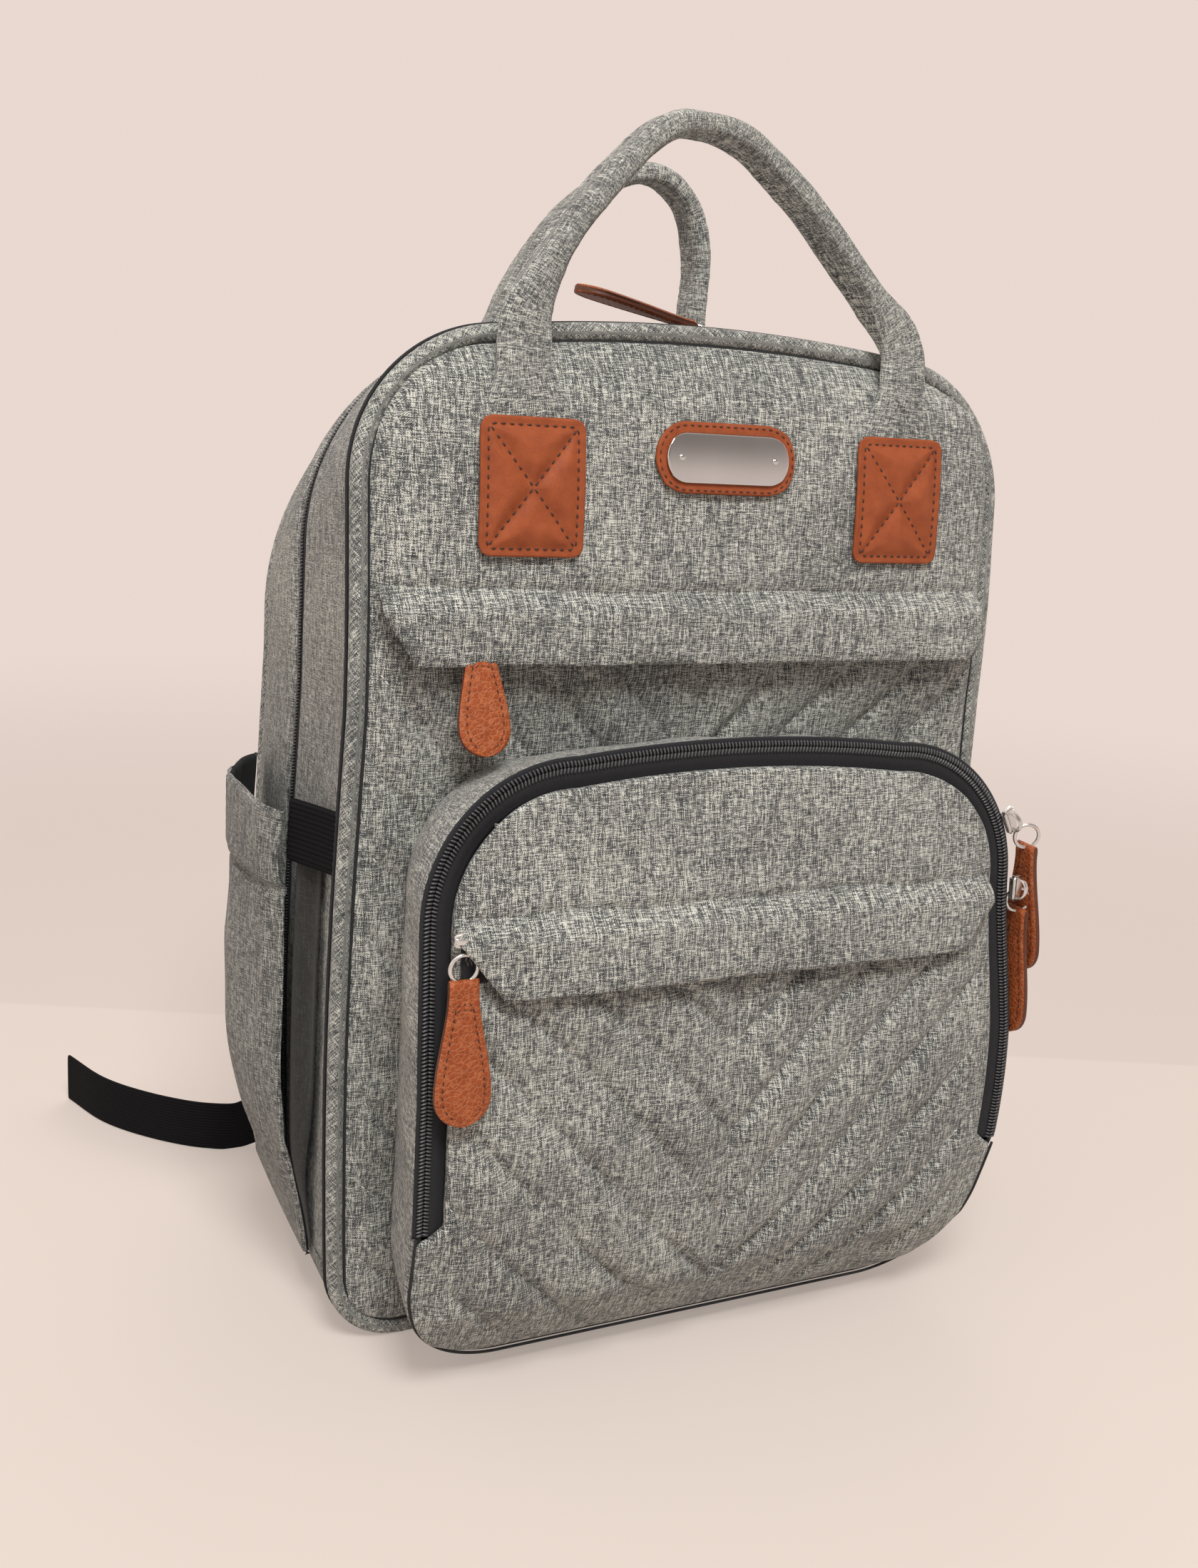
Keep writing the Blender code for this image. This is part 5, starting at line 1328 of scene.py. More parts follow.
def dome(name, centre, radius, height, mat):
    """A low round rivet head that faces the front."""
    rings, sides = 7, 20
    points = []
    for i in range(rings):
        a = 0.5 * math.pi * i / (rings - 1) * 0.97
        r, h = radius * math.cos(a), height * math.sin(a)
        points += [(centre[0] + r * math.cos(2 * math.pi * k / sides), centre[1] - h,
                    centre[2] + r * math.sin(2 * math.pi * k / sides)) for k in range(sides)]
    base = [(p[0], centre[1] + 0.0008, p[2]) for p in points[:sides]]
    points = base + points
    return make_mesh(name, points, tube_faces(rings + 1, sides), np.array(points)[:, [0, 2]], [mat])


# ---------------------------------------------------------------- sliders, rings and pulls

UPPER_SLIDER, LOWER_SLIDER = (-0.0990, 0.3035), (-0.1165, 0.1975)
TOP_RING, SIDE_RING = (0.1395, -0.1182, 0.2140), (0.1382, -0.1200, 0.1865)
MAIN_X, MAIN_Y, MAIN_RING_Z = 0.046, ZIP_Y + 0.0042, 0.411369
SMALL_RING_R, RING_R, SMALL_WIRE_R, WIRE_R = 0.0036, 0.0052, 0.0007, 0.0008
UPPER_PULL_DROP, LOWER_PULL_DROP = 0.0081, 0.0142
UPPER_PULL_LENGTH, LOWER_PULL_LENGTH, LONG_PULL_LENGTH = 0.042, 0.0525, 0.055
# Length, width and height of the sliders' bodies
UPPER_SLIDER_SIZE, LOWER_SLIDER_SIZE = (0.0080, 0.0070, 0.0016), (0.0075, 0.0070, 0.0016)
POCKET_SLIDER_SIZE, MAIN_SLIDER_SIZE = (0.0112, 0.0074, 0.0036), (0.0120, 0.0084, 0.0034)
PULL_TILT = math.radians(17)
PULL_TOP, PULL_THICK, PULL_WIDTH, PULL_STITCH_INSET = 0.0112, 0.0034, 0.0224, 0.0028


def pull_width(s, length, wide):
    """Half-width of a leather pull at distance s from its folded top."""
    half, start = 0.5 * wide, length - 0.5 * wide
    taper = lerp(0.5 * PULL_TOP, half, smooth((s - 0.06 * length) / (start - 0.06 * length)))
    end = half * np.sqrt(np.clip(1.0 - ((s - start) / half) ** 2, 0.0, 1.0))
    return np.where(s > start, end, np.minimum(taper, half))


def leather_pull(name, pivot, down, across, length, loop, body, wide=PULL_WIDTH):
    """Two layers of leather folded over a ring and sewn together."""
    down = np.array(down, float) / np.linalg.norm(down)
    across = np.array(across, float) / np.linalg.norm(across)
    normal = np.cross(down, across)
    start = np.array(pivot, float) + down * (loop - 0.0012)
    full, half_thick = length + 0.0018, 0.5 * PULL_THICK
    s = np.r_[np.linspace(0, 0.004, 8)[:-1], np.linspace(0.004, full - 0.012, 34)[:-1],
              full - 0.012 + 0.012 * np.sin(np.linspace(0, 0.5 * math.pi, 14))]
    s[-1] = full - 0.00005
    half = pull_width(s, full, wide)
    half[-1] = max(half[-1], 0.0006)
    # Round bead at the fold, then flat.
    bead = np.sqrt(np.clip(1 - (1 - s / half_thick) ** 2, 0.03, 1))
    body_thick = half_thick * np.where(s < half_thick, bead, 1.0)
    body_thick = body_thick * (1.0 + 0.10 * bell((s - 0.003) / 0.002))
    rows, columns = len(s), 18
    u = np.linspace(-1, 1, columns)
    front, back = [], []
    for k in range(rows):
        edge = 1.0 - np.clip((1 - np.abs(u)) * half[k] / 0.0011, 0, 1)
        rounded = body_thick[k] * (1.0 - 0.45 * edge ** 2)
        stitch = bell((half[k] * (1 - np.abs(u)) - PULL_STITCH_INSET) / 0.0007) * (s[k] > 0.006)
        rounded = rounded - 0.00035 * stitch
        flat = start + down * s[k] + across * (u * half[k])[:, None]
        front.append(flat + normal * rounded[:, None])
        back.append(flat - normal * rounded[:, None])
    front, back = np.array(front), np.array(back)
    # The middle of the rim is drawn in, so that the two layers show.
    groove, reach = start + down * s[:, None], across * (half * 0.965 - 0.0001)[:, None]
    ring = np.concatenate([front, (groove + reach)[:, None], back[:, ::-1], (groove - reach)[:, None]], axis=1)
    index = ([0] * (columns - 1) + [1, 1] + [0] * (columns - 1) + [1, 1]) * (rows - 1) + [0, 1]
    around = np.concatenate([u, [1.0], u[::-1], [-1.0]])
    uv = np.stack([around[None] * half[:, None], np.broadcast_to(s[:, None], (rows, len(around)))], -1)
    faces = tube_faces(rows, len(around))
    place(make_mesh(name, ring, faces, uv, [PEBBLED, LEATHER_EDGE], index, sharp=50), body, "brown_leather", body)
    runs = []
    for sign in (-1, 1):
        t = np.linspace(0.010, full - 0.0030, 80)
        w = np.maximum(pull_width(t + 0.0010, full, wide) - PULL_STITCH_INSET, 0.0)
        w = np.minimum(w, 0.0116 - PULL_STITCH_INSET)
        for face in (-1, 1):
            line = start + down * t[:, None] + across * (sign * w)[:, None] + normal * (face * (half_thick - 0.0002))
            runs.append((line, facing(normal * face, len(t))))
    for face in (-1, 1):
        for row in (0.0085, 0.0105):
            w = np.linspace(-0.0032, 0.0032, 9)
            zig = row + 0.0007 * (np.arange(9) % 2)
            line = start + down * zig[:, None] + across * w[:, None] + normal * (face * (half_thick - THREAD_LIFT))
            runs.append((line, facing(normal * face, len(w))))
    sew(name + "_thread", runs, PULL_STITCH, body, "brown_leather")


def ring_piece(name, pivot, normal, radius, body, cad=None, wire=WIRE_R):
    """A round wire ring about a pivot; cad is the frame's own ring, where it has one."""
    normal = Vector(normal).normalized()
    first = normal.orthogonal().normalized()
    second = normal.cross(first)
    a = np.linspace(0, 2 * math.pi, 49)[:-1]
    line = np.array(pivot) + radius * (np.cos(a)[:, None] * np.array(first) + np.sin(a)[:, None] * np.array(second))
    piece = sweep(name, line, round_section(wire, 10), NICKEL, closed=True)
    place(piece, body, "nickel_hardware", *([cad] if cad else []))


def cast_piece(name, bm, turn, centre, mat):
    """A hard-edged object from a bmesh, turned and moved to its place."""
    bmesh.ops.rotate(bm, verts=bm.verts, matrix=turn)
    bmesh.ops.translate(bm, verts=bm.verts, vec=centre)
    bm.verts.index_update()
    points, faces = [v.co[:] for v in bm.verts], [[v.index for v in f.verts] for f in bm.faces]
    bm.free()
    return make_mesh(name, points, faces, np.array(points)[:, [0, 2]], [mat], sharp=35)


def slider_piece(name, centre, along, out, body, size):
    """A cast zip slider: a shield-shaped body with a raised bail over it."""
    along, out = Vector(along).normalized(), Vector(out).normalized()
    turn = Matrix((along.cross(out), along, out)).transposed()
    length, width, height = size
    bm = bmesh.new()
    bmesh.ops.create_cube(bm, size=1.0)
    bmesh.ops.scale(bm, vec=(width, length, height), verts=bm.verts)
    for v in bm.verts:
        if v.co.y < 0:
            v.co.x *= 0.68
    bmesh.ops.bevel(bm, geom=bm.edges[:], offset=height * 0.3, segments=3, affect="EDGES")
    arch = [(0, at * length, rise * height)
            for at, rise in ((-0.42, 0.3), (-0.30, 1.15), (0.02, 1.45), (0.30, 1.05), (0.40, 0.3))]
    line = spline(arch, 6)
    _, first, second = frames_along(line, up=(1, 0, 0))
    sides = 10
    section = super_section(0.0022, 0.0010, sides, 0.7)
    rows = [[bm.verts.new(line[k] + first[k] * b + second[k] * a) for a, b in section] for k in range(len(line))]
    for low_row, high_row in zip(rows, rows[1:]):
        for j in range(sides):
            after = (j + 1) % sides
            bm.faces.new((low_row[j], low_row[after], high_row[after], high_row[j]))
    bm.faces.new(rows[0])
    bm.faces.new(rows[-1])
    bmesh.ops.recalc_face_normals(bm, faces=bm.faces)
    place(cast_piece(name, bm, turn, centre, NICKEL), body, "nickel_hardware", body)


def build_hardware():
    x, z = UPPER_SLIDER
    slider_piece("slider_upper", (x, depth_at(lid_surface, x, z) - 0.0026, z), (1, 0, 0), FORWARD, "upper_slider",
                 UPPER_SLIDER_SIZE)
    pivot = (x, depth_at(lid_surface, x, z - UPPER_PULL_DROP) - 0.0030, z - UPPER_PULL_DROP)
    ring_piece("ring_upper", pivot, (0, 1, 0), SMALL_RING_R, "upper_pull", "upper_ring", SMALL_WIRE_R)
    leather_pull("pull_upper", pivot, (0, -math.sin(PULL_TILT), -math.cos(PULL_TILT)), (1, 0, 0), UPPER_PULL_LENGTH,
                 SMALL_RING_R, "upper_pull", wide=0.0200)
    x, z = LOWER_SLIDER
    slider_piece("slider_lower", (x, depth_at(pocket_face_y, x, z - 0.0075) - 0.0028, z - 0.004), (1, 0, 0), FORWARD,
                 "lower_slider", LOWER_SLIDER_SIZE)
    pivot = (x, depth_at(pocket_face_y, x, z - 0.0194) - 0.0032, z - LOWER_PULL_DROP)
    ring_piece("ring_lower", pivot, (0, 1, 0), RING_R, "lower_pull", "lower_ring")
    leather_pull("pull_lower", pivot, (0, -0.10, -1), (1, 0, 0), LOWER_PULL_LENGTH, RING_R, "lower_pull", wide=0.0216)

    cx, cz = POCKET_HALF - POCKET_CORNER, POCKET_TOP - POCKET_CROWN - POCKET_CORNER
    radius, angle = POCKET_CORNER + 0.0020, math.radians(24)
    top = (cx + radius * math.cos(angle), cz + radius * math.sin(angle))
    for label, (sx, sz), lean, ring, down in (("top", top, angle, TOP_RING, (0.09, 0, -1)),
                                              ("side", (POCKET_HALF + 0.0030, 0.1920), 0.0, SIDE_RING, (0.045, 0, -1))):
        slider_piece(f"slider_{label}", (sx, float(rim_y(sz)) - 0.0006, sz), (-math.sin(lean), 0.0, math.cos(lean)),
                     (0.30, -1, 0.05), f"pocket_slider_{label}", POCKET_SLIDER_SIZE)
        body = f"pocket_pull_{label}"
        middle = (ring[0] - 0.0012, ring[1] - 0.0008, ring[2] - 0.0004)
        ring_piece(f"ring_{label}", middle, (0.35, 1, 0.1), RING_R, body)
        leather_pull(f"pull_{label}", ring, down, (0, 1, 0), LONG_PULL_LENGTH, RING_R, body)

    slider_piece("slider_main", (MAIN_X, MAIN_Y, MAIN_RING_Z - 0.0075 + 0.0028), (-1, 0, 0), (0, 0, 1), "main_slider",
                 MAIN_SLIDER_SIZE)
    pivot = (MAIN_X - 0.0130, MAIN_Y, MAIN_RING_Z)
    ring_piece("ring_main", pivot, (0.28, 0, 1), RING_R, "main_pull", "main_ring")
    leather_pull("pull_main", pivot, (-1, 0, 0.20), (0, 1, 0), LONG_PULL_LENGTH, RING_R, "main_pull")


# ---------------------------------------------------------------- carry handles

HANDLE_RIMS = (2.3, 4.0)


def handle_piece(name, points, profile, body, seed):
    """A padded band in a plane across the bag; profile(t) gives its depth along Y and its other width."""
    line = resample(spline(points, 16), 190)
    tangent = np.gradient(line, axis=0)
    tangent[:, 1] = 0.0
    tangent = unit(tangent)
    normal = np.stack([-tangent[:, 2], np.zeros(len(line)), tangent[:, 0]], 1)
    depth = facing(BACKWARD, len(line))
    t = np.linspace(0, 1, len(line))
    wide, thick = profile(t)
    count, power = 40, 0.62
    a = np.linspace(0, 2 * math.pi, count, endpoint=False)
    c, s = np.cos(a), np.sin(a)
    base_n, base_y = np.sign(c) * np.abs(c) ** power, np.sign(s) * np.abs(s) ** power
    section = np.stack([0.5 * thick[:, None] * base_n, 0.5 * wide[:, None] * base_y], -1)
    length = np.linspace(0, np.sum(np.linalg.norm(np.diff(line, axis=0), axis=1)), len(line))[:, None]
    wrinkle = ripple(length, a[None] * 0.006, 0.035, seed) * 0.0004
    wrinkle = wrinkle + creases(length, a[None] * 0.01, 0.022, seed + 2, 2.5, 0.3) * 0.0003
    grip = smooth((np.minimum(t, 1 - t) - 0.10) / 0.15)[:, None]
    # Sewn groove along the inner face, and a shallow one along each rim.
    inner = bell(np.abs(a - math.pi)[None] / 0.16) * 0.0011
    rims = sum(bell((a - rim) / 0.10) for rim in HANDLE_RIMS)[None] * 0.0006
    shrink = wrinkle - inner * grip - rims * grip
    size = np.linalg.norm(section, axis=2)
    section = section * (1.0 + shrink / np.maximum(size, 1e-4))[..., None]
    piece = sweep(name, line, section, FABRIC, frames=(tangent, normal, depth))
    place(piece, body, "heather_fabric", body)
    runs, keep = [], slice(30, -30)
    for angle in HANDLE_RIMS:
        k = int(round(angle / (2 * math.pi) * count))
        at = line + normal * section[:, k, :1] + depth * section[:, k, 1:]
        runs.append((at[keep], (normal * base_n[k] + depth * base_y[k])[keep]))
    sew(name + "_thread", runs, HANDLE_STITCH, body)


def build_handles():
    front = [(-0.0812, -0.0740, 0.3680), (-0.0826, -0.0727, 0.3840), (-0.0835, -0.0712, 0.3970),
             (-0.0800, -0.0680, 0.4140), (-0.0625, -0.0620, 0.4430), (-0.0330, -0.0605, 0.4745),
             (-0.0140, -0.0600, 0.4805),
             (0.0060, -0.0600, 0.4765), (0.0360, -0.0605, 0.4560), (0.0620, -0.0620, 0.4310),
             (0.0800, -0.0682, 0.4110), (0.0825, -0.0712, 0.3960), (0.0818, -0.0727, 0.3830), (0.0808, -0.0740, 0.3680)]

    def profile(t):
        foot = np.minimum(t, 1 - t)
        grip = smooth((foot - 0.10) / 0.14)
        tab = 1.0 - smooth(foot / 0.085)
        return lerp(0.0052, 0.0205, grip), lerp(lerp(0.0205, 0.0365, tab), 0.0092, grip)

    handle_piece("handle_front", front, profile, "front_handle", 81)
    rear = [(-0.0490, 0.0540, 0.3900), (-0.0440, 0.0585, 0.4060), (-0.0330, 0.0605, 0.4280),
            (-0.0150, 0.0600, 0.4540), (0.0080, 0.0600, 0.4720), (0.0290, 0.0600, 0.4770),
            (0.0470, 0.0600, 0.4655), (0.0540, 0.0600, 0.4430), (0.0535, 0.0590, 0.4180), (0.0520, 0.0540, 0.3900)]

    def rear_profile(t):
        grip = smooth(np.minimum(t, 1 - t) / 0.12)
        return lerp(0.0165, 0.0190, grip), lerp(0.0110, 0.0088, grip)

    handle_piece("handle_rear", rear, rear_profile, "rear_handle", 91)


# ---------------------------------------------------------------- side pockets

def pocket_wall(y, z):
    """How far the side pocket stands out from the body."""
    reach = np.clip((y - SIDE_POCKET_FRONT) / (SIDE_POCKET_BACK - SIDE_POCKET_FRONT), 0, 1)
    fullness = SIDE_POCKET_BULGE * smooth((z - 0.015) / 0.105)
    swell = np.sin(math.pi * lerp(0.13, 1.0, reach)) ** 0.75
    return 0.0030 + fullness * swell


def body_side(y, z):
    """The body's half-width at each point of a grid of (y, z)."""
    return np.array([edge_x(column, z[:, 0]) for column in y[0]]).T


def build_side_pocket(label, side, seed):
    y, z = np.meshgrid(np.linspace(SIDE_POCKET_FRONT, SIDE_POCKET_BACK, 84), np.linspace(0.0260, 0.2190, 130))
    slack = 0.0016 * ripple(y, z * 0.55, 0.060, seed) + 0.0012 * creases(y, z, 0.035, seed + 4, 4.0, 0.15)
    out = pocket_wall(y, z) + slack * smooth((z - 0.030) / 0.03)
    out = out - 0.0016 * bell((z - CUFF_Z) / 0.0016) + 0.0016 * smooth((z - CUFF_Z) / 0.005)
    share = math.pi * (y - SIDE_POCKET_FRONT) / (SIDE_POCKET_BACK - SIDE_POCKET_FRONT)
    rise = 0.0030 * np.sin(share) * smooth((z - 0.19) / 0.03)
    outer = np.stack([side * (body_side(y, z) + out), y, z + rise], -1)
    piece = shell(f"side_pocket_{label}_cloth", outer, metric_uv(outer), POCKET_CLOTH, 0.0026, (side, 0, 0),
                  lining=LINING_AND_SEAM_SHADE, round_edge=0.9)
    place(piece, "bag", "heather_fabric", f"side_pocket_{label}")
    line = outer[int(np.argmin(np.abs(z[:, 0] - CUFF_Z)))] + np.array([side * 0.0002, 0, 0.0018])
    sew(f"cuff_thread_{label}", [(line, facing((side, 0.0, 0.0), len(line)))], CUFF_STITCH, "bag")


def build_pleat_shade(label, side):
    """A near-black sheet ahead of the pocket's front edge: painted shade for the pleat's narrow opening, in place of
    its inner fold.
    """
    y, z = np.meshgrid(np.linspace(0, 1, 10), np.linspace(0.0320, 0.2040, 60))
    width = 0.0035 + 0.0070 * smooth((z - 0.040) / 0.09)
    y = lerp(SIDE_POCKET_FRONT + 0.004, SIDE_POCKET_FRONT - width, y)
    body_x = np.array([edge_x(float(np.mean(column)), z[:, 0]) for column in y.T]).T
    rise = lerp(0.0065, 0.0006, smooth((SIDE_POCKET_FRONT - y) / 0.0085)) * smooth((z - 0.030) / 0.05)
    outer = np.stack([side * (body_x + 0.0014 + rise), y, z], -1)
    place(shell(f"pleat_shade_{label}", outer, metric_uv(outer), PLEAT_SHADE, 0.0010, (side, 0, 0)), "bag", "heather_fabric")


def build_elastic(label, side):
    """The elastic band between the pocket's front edge and the piping."""
    y, z = np.meshgrid(np.linspace(FRONT_Y + SEAM, SIDE_POCKET_FRONT + 0.0015, 26), np.linspace(0.1995, 0.2240, 26))
    t = (y - y.min()) / (y.max() - y.min())
    end = pocket_wall(np.full_like(y, SIDE_POCKET_FRONT), z)
    out = lerp(0.0012, end - 0.0008, t ** 1.15) + 0.0002 * np.sin(z / 0.0019 * math.pi)
    outer = np.stack([side * (body_side(y, z) + out), y, z], -1)
    piece = shell(f"elastic_{label}_band", outer, np.stack([y, z], -1), ELASTIC, 0.0016, (side, 0, 0))
    place(piece, "bag", "black_webbing", f"elastic_{label}")


def build_side_pockets():
    for (label, side), seed in zip(SIDES, (101, 131)):
        build_side_pocket(label, side, seed)
        build_pleat_shade(label, side)
        build_elastic(label, side)


# ---------------------------------------------------------------- back and shoulder straps

def build_back():
    loop = body_loop(BACK_Y, PIPING_R + SEAM * 0.75)
    grid = fill_loop(loop, corner_places(loop, (0.130, 0.0145), (0.105, 0.350)), 150, 200)
    x, z = grid[..., 0], grid[..., 1]
    pad = quarter_round(np.clip(edge_distance(grid, 0.0019) / 0.016, 0, 1))
    channel = 1.0 - 0.75 * np.exp(-(np.abs(x) / 0.010) ** 4)
    for level in (0.105, 0.185, 0.265):
        bowed = level + 0.010 * (1 - (x / 0.14) ** 2)
        channel = channel * (1.0 - 0.80 * bell((z - bowed) / 0.0036))
    y = BACK_Y - 0.0016 + 0.0096 * pad * np.clip(channel, 0.12, 1.0) + 0.0006 * ripple(x, z, 0.06, 77) * pad
    outer = np.stack([x, np.minimum(y, 0.0772), z], -1)
    piece = shell("back_pad", outer, grid, MESH, FACE_THICK, BACKWARD, lining=LINING_AND_SEAM_SHADE)
    place(piece, "bag", "mesh_fabric", "back_panel")


def strap_line(side):
    pad = [(side * 0.046, 0.0835, 0.3560), (side * 0.048, 0.0905, 0.3340), (side * 0.060, 0.0960, 0.3000),
           (side * 0.078, 0.1010, 0.2450), (side * 0.088, 0.1000, 0.1900), (side * 0.094, 0.0960, 0.1420)]
    return resample(spline(pad, 14), 90)


def flat_frames(line):
    """Tangent, across and face directions of a band whose face is turned to the rear."""
    tangent = unit(np.gradient(line, axis=0))
    across = unit(np.cross(tangent, BACKWARD))
    return tangent, across, np.cross(across, tangent)


PAD_PRESSURE, PAD_SWELL, PAD_VOXEL, CLOTH_FRAMES = 4.0, 0.0026, 0.0045, 20


def inflate(obj, pressure, cap):
    """Swell a closed mesh as stuffed cloth, with its movement limited to cap."""
    rest = np.array([v.co for v in obj.data.vertices])
    modifier = obj.modifiers.new("Cloth", "CLOTH")
    settings = modifier.settings
    settings.quality, settings.mass = 5, 0.3
    settings.use_pressure, settings.uniform_pressure_force = True, pressure
    settings.tension_stiffness = settings.compression_stiffness = 15
    settings.bending_stiffness = 0.5
    settings.effector_weights.gravity = 0.0
    scene = bpy.context.scene
    for step in range(1, CLOTH_FRAMES + 1):
        scene.frame_set(step)
    graph = bpy.context.evaluated_depsgraph_get()
    moved = np.array([v.co for v in obj.evaluated_get(graph).data.vertices])
    obj.modifiers.remove(modifier)
    scene.frame_set(1)
    shift = moved - rest
    far = np.linalg.norm(shift, axis=1, keepdims=True)
    shift *= np.minimum(1.0, cap / np.maximum(far, 1e-9))
    obj.data.vertices.foreach_set("co", (rest + shift).astype(np.float32).ravel())
    obj.data.update()


def remesh(obj, size):
    bpy.context.view_layer.objects.active = obj
    for other in bpy.context.selected_objects:
        other.select_set(False)
    obj.select_set(True)
    obj.data.remesh_voxel_size = size
    bpy.ops.object.voxel_remesh()


def cloth_uv(obj, uv_of):
    """Cloth coordinates for a remeshed piece, from each point's place."""
    points = np.array([v.co for v in obj.data.vertices])
    layer = obj.data.uv_layers.get("Cloth") or obj.data.uv_layers.new(name="Cloth")
    corner = np.zeros(len(obj.data.loops), np.int32)
    obj.data.loops.foreach_get("vertex_index", corner)
    layer.data.foreach_set("uv", uv_of(points).astype(np.float32)[corner].ravel())


def subdivide(obj):
    modifier = obj.modifiers.new("Subdivision", "SUBSURF")
    modifier.levels = modifier.render_levels = 1
    graph = bpy.context.evaluated_depsgraph_get()
    data = bpy.data.meshes.new_from_object(obj.evaluated_get(graph))
    obj.modifiers.clear()
    obj.data = data
    obj.data.shade_smooth()


def ribbon(name, line, frames, width, thick, mat, power=0.35, count=20):
    sections = np.array([super_section(w, thick, count, power) for w in np.broadcast_to(width, (len(line),))])
    return sweep(name, line, sections, mat, frames=frames)


def build_straps():
    points = [(0.0755, 0.0808, 0.3605), (0.0, 0.0808, 0.3625), (-0.0755, 0.0808, 0.3605)]
    line = resample(spline(points, 20), 60)
    piece = ribbon("yoke_cloth", line, flat_frames(line), 0.0255, 0.0052, DARK, 0.5)
    place(piece, "bag", "heather_fabric", "strap_yoke")
    runs = []
    for shift in (-0.0098, 0.0098):
        keep = line[3:-3] + np.array([0, 0.0026, shift])
        runs.append((keep, facing(BACKWARD, len(keep))))
    sew("yoke_thread", runs, STRAP_STITCH, "bag")
    for label, side in SIDES:
        build_strap(label, side)
        build_ladder_lock(label, side)
        build_anchor(label, side)

    tails = {"left": [(-0.1010, 0.1040, 0.1000), (-0.1050, 0.1060, 0.0600), (-0.1160, 0.1065, 0.0260),
                      (-0.1370, 0.1065, 0.0129), (-0.1560, 0.1090, 0.0129), (-0.1790, 0.1270, 0.0129),
                      (-0.1990, 0.1520, 0.0129), (-0.2120, 0.1840, 0.0129)],
             "right": [(0.1010, 0.1040, 0.1000), (0.1040, 0.1060, 0.0600), (0.1120, 0.1070, 0.0260),
                       (0.1260, 0.1100, 0.0129), (0.1360, 0.1230, 0.0129), (0.1370, 0.1400, 0.0129)]}
    for label, points in tails.items():
        place(tail_piece(f"tail_{label}", points), "bag", "black_webbing", f"strap_tail_{label}")


def build_strap(label, side):
    """A shoulder strap's padded part with its bindings, and the webbing below it."""
    line = strap_line(side)
    t = np.linspace(0, 1, len(line))
    frames = flat_frames(line)
    _, across, face = frames
    width = lerp(0.056, 0.046, smooth(t)) * (1.0 - 0.25 * smooth((t - 0.93) / 0.07))
    width = width * (1.0 - 0.2 * smooth((0.06 - t) / 0.06))
    body, name = f"strap_{label}", f"strap_pad_{label}"
    pad = ribbon(name, line, frames, width - 0.003, 0.0062, DARK, 0.5, 28)
    remesh(pad, PAD_VOXEL)
    inflate(pad, PAD_PRESSURE, PAD_SWELL)
    subdivide(pad)
    pad.data.materials.clear()
    pad.data.materials.append(DARK)
    cloth_uv(pad, lambda p: p[:, [0, 2]])
    place(pad, body, "heather_fabric", f"shoulder_strap_{label}")
    for edge, sign in (("inner", -1), ("outer", 1)):
        rim = line + across * (sign * (0.5 * width - 0.0004))[:, None]
        section = super_section(0.0042, 0.0082, 16, 0.6)
        place(sweep(f"strap_binding_{label}_{edge}", rim, section, WEB, frames=frames), body, "black_webbing")
    # Cross stitching where the webbing is let into the pad's lower end
    keep = slice(66, 88)
    runs = [(line[keep] + across[keep] * offset + face[keep] * 0.0049, face[keep]) for offset in (-0.0105, 0.0105)]
    sew(f"strap_thread_{label}", runs, STRAP_STITCH, body)
    web = [(side * 0.0938, 0.0962, 0.1460), (side * 0.0948, 0.0952, 0.1385), (side * 0.1020, 0.0900, 0.1080),
           (side * 0.1130, 0.0855, 0.0760), (side * 0.1190, 0.0850, 0.0565), (side * 0.1203, 0.0828, 0.0450)]
    web_line = resample(spline(web, 12), 60)
    piece = ribbon(f"strap_web_{label}", web_line, flat_frames(web_line), WEBBING, 0.0017, WEB)
    place(piece, body, "black_webbing", f"strap_webbing_{label}")


def tail_piece(name, points):
    """A strap's loose end: it hangs flat, then turns to stand on its edge on the floor."""
    line = resample(spline(points, 14), 110)
    tangent = unit(np.gradient(line, axis=0))
    flat = tangent * (1, 1, 0)
    length = np.linalg.norm(flat, axis=1, keepdims=True)
    level = np.stack([-flat[:, 1], flat[:, 0], np.zeros(len(line))], 1) / np.maximum(length, 1e-6)
    for k in range(len(line)):
        before = level[k - 1] if k and length[k - 1] > 0.05 else np.array(BACKWARD)
        if level[k] @ before < 0:
            level[k] = -level[k]
    share = np.where(length < 0.05, 0.0, smooth(length / 0.75))
    thin = np.array(BACKWARD) * (1 - share) + level * share
    thin = unit(thin - tangent * np.sum(thin * tangent, axis=1, keepdims=True))
    return ribbon(name, line, (tangent, np.cross(tangent, thin), thin), WEBBING - 0.0002, 0.0018, WEB)


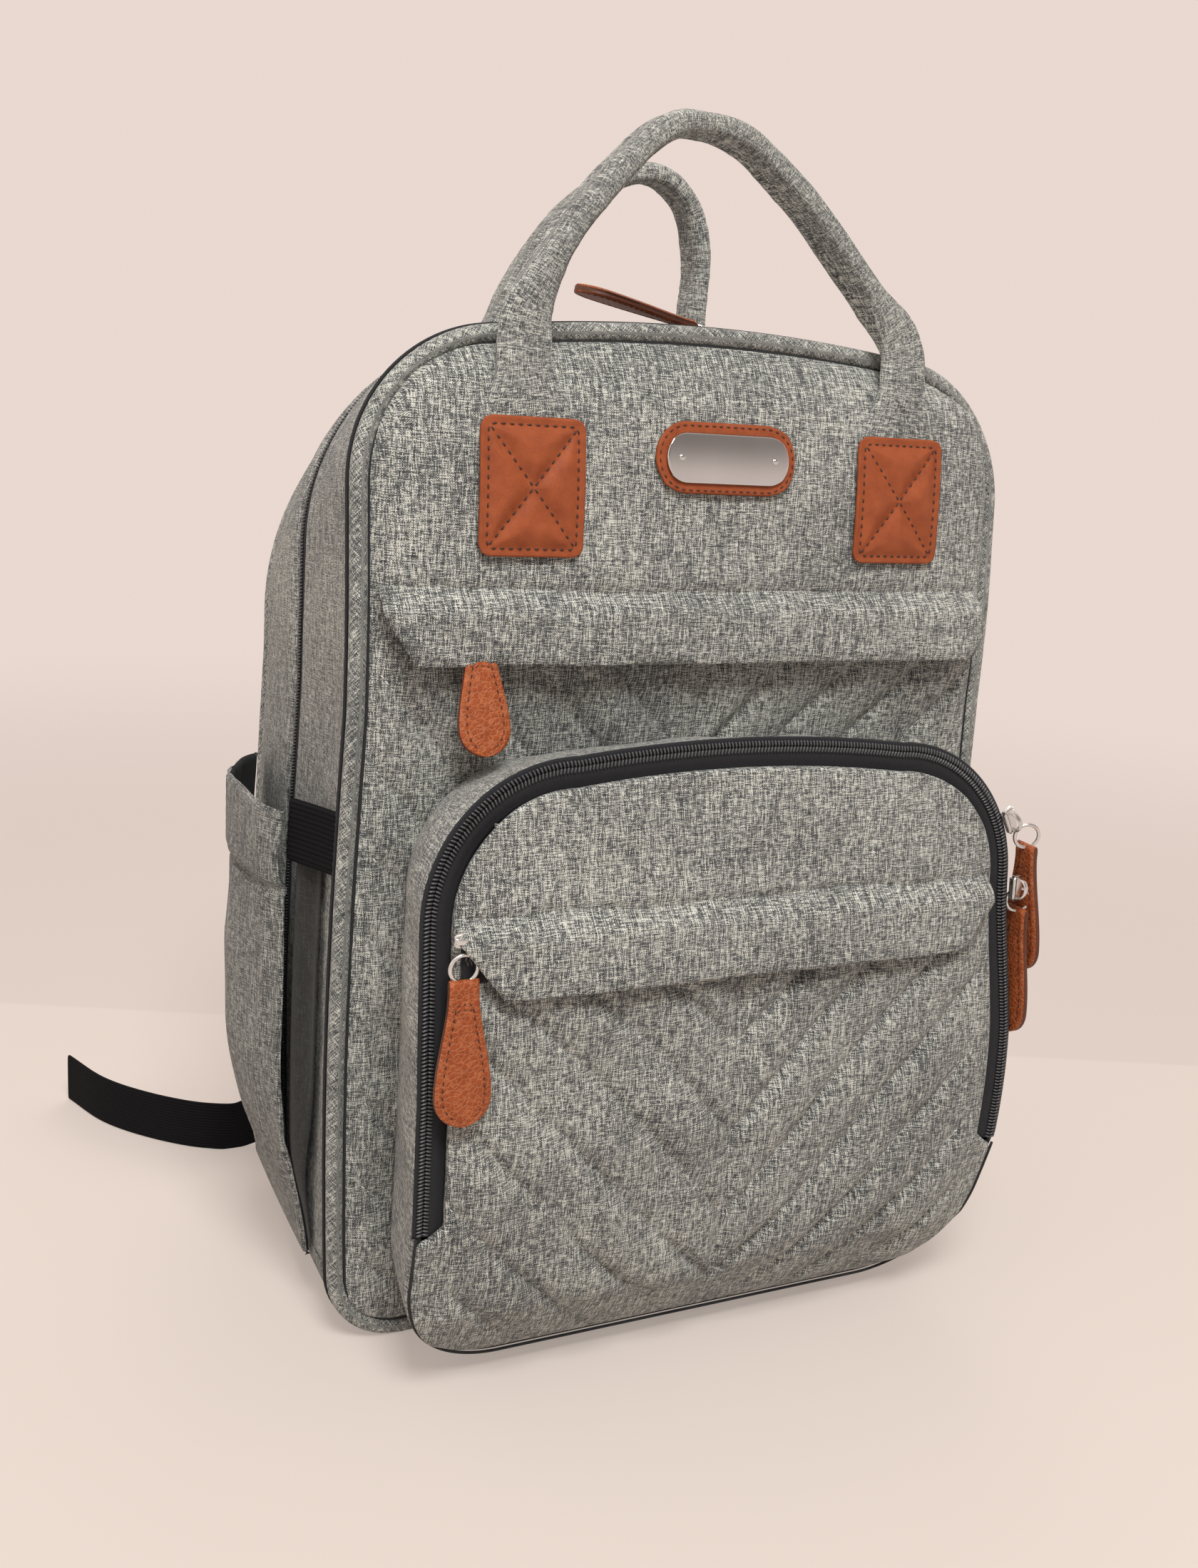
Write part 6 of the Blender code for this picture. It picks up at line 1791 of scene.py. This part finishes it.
def build_ladder_lock(label, side):
    """A moulded ladder lock: a frame with two bars, leaning with the webbing."""
    tilt = Matrix.Rotation(side * math.radians(-13), 3, "Y") @ Matrix.Rotation(math.radians(-10), 3, "X")
    centre = Vector((side * 0.0998, 0.0955, 0.1180))
    width, height, thick = 0.031, 0.021, 0.0036
    bm = bmesh.new()
    parts = [((-0.0140, 0, 0), (0.0030, thick, height)), ((0.0140, 0, 0), (0.0030, thick, height)),
             ((0, 0, 0.0092), (width, thick * 1.1, 0.0028)), ((0, 0.0002, -0.0092), (width, thick, 0.0028)),
             ((0, 0.0006, 0.0010), (width - 0.002, thick * 0.8, 0.0034))]
    for middle, size in parts:
        made = bmesh.ops.create_cube(bm, size=1.0)["verts"]
        bmesh.ops.scale(bm, vec=size, verts=made)
        bmesh.ops.translate(bm, vec=middle, verts=made)
    bmesh.ops.bevel(bm, geom=bm.edges[:], offset=0.0006, segments=2, affect="EDGES")
    piece = cast_piece(f"lock_{label}", bm, tilt, centre, PLASTIC)
    place(piece, f"ladder_lock_{label}", "black_plastic", f"ladder_lock_{label}")


def build_anchor(label, side):
    """The sewn tab that holds the lower end of the strap's webbing."""
    centre = np.array((side * 0.1205, 0.0792, 0.0395))
    line = centre + np.linspace(-0.0100, 0.0105, 24)[:, None] * np.array((0.0, 0.02, 1.0))
    piece = ribbon(f"anchor_{label}", line, flat_frames(line), 0.0268, 0.0046, DARK, 0.4)
    place(piece, "bag", "heather_fabric", f"strap_anchor_{label}")
    face_y = centre[1] + 0.0024
    ring = closed_run(rounded_loop(centre[0], centre[2], 0.0205, 0.0145, 0.001), 80)
    runs = [(at_depth(ring, face_y), facing(BACKWARD, len(ring)))]
    for sign in (-1, 1):
        t = np.linspace(-1, 1, 24)
        runs.append((np.stack([centre[0] + 0.0102 * t, np.full(24, face_y), centre[2] + sign * 0.0072 * t], 1),
                     facing(BACKWARD, len(t))))
    sew(f"anchor_thread_{label}", runs, ANCHOR_STITCH, "bag")


build_camera()
build_room()
build_front()
build_piping()
build_sides()
build_main_zip()
build_pocket()
build_flaps()
build_leather()
build_hardware()
build_handles()
build_side_pockets()
build_back()
build_straps()
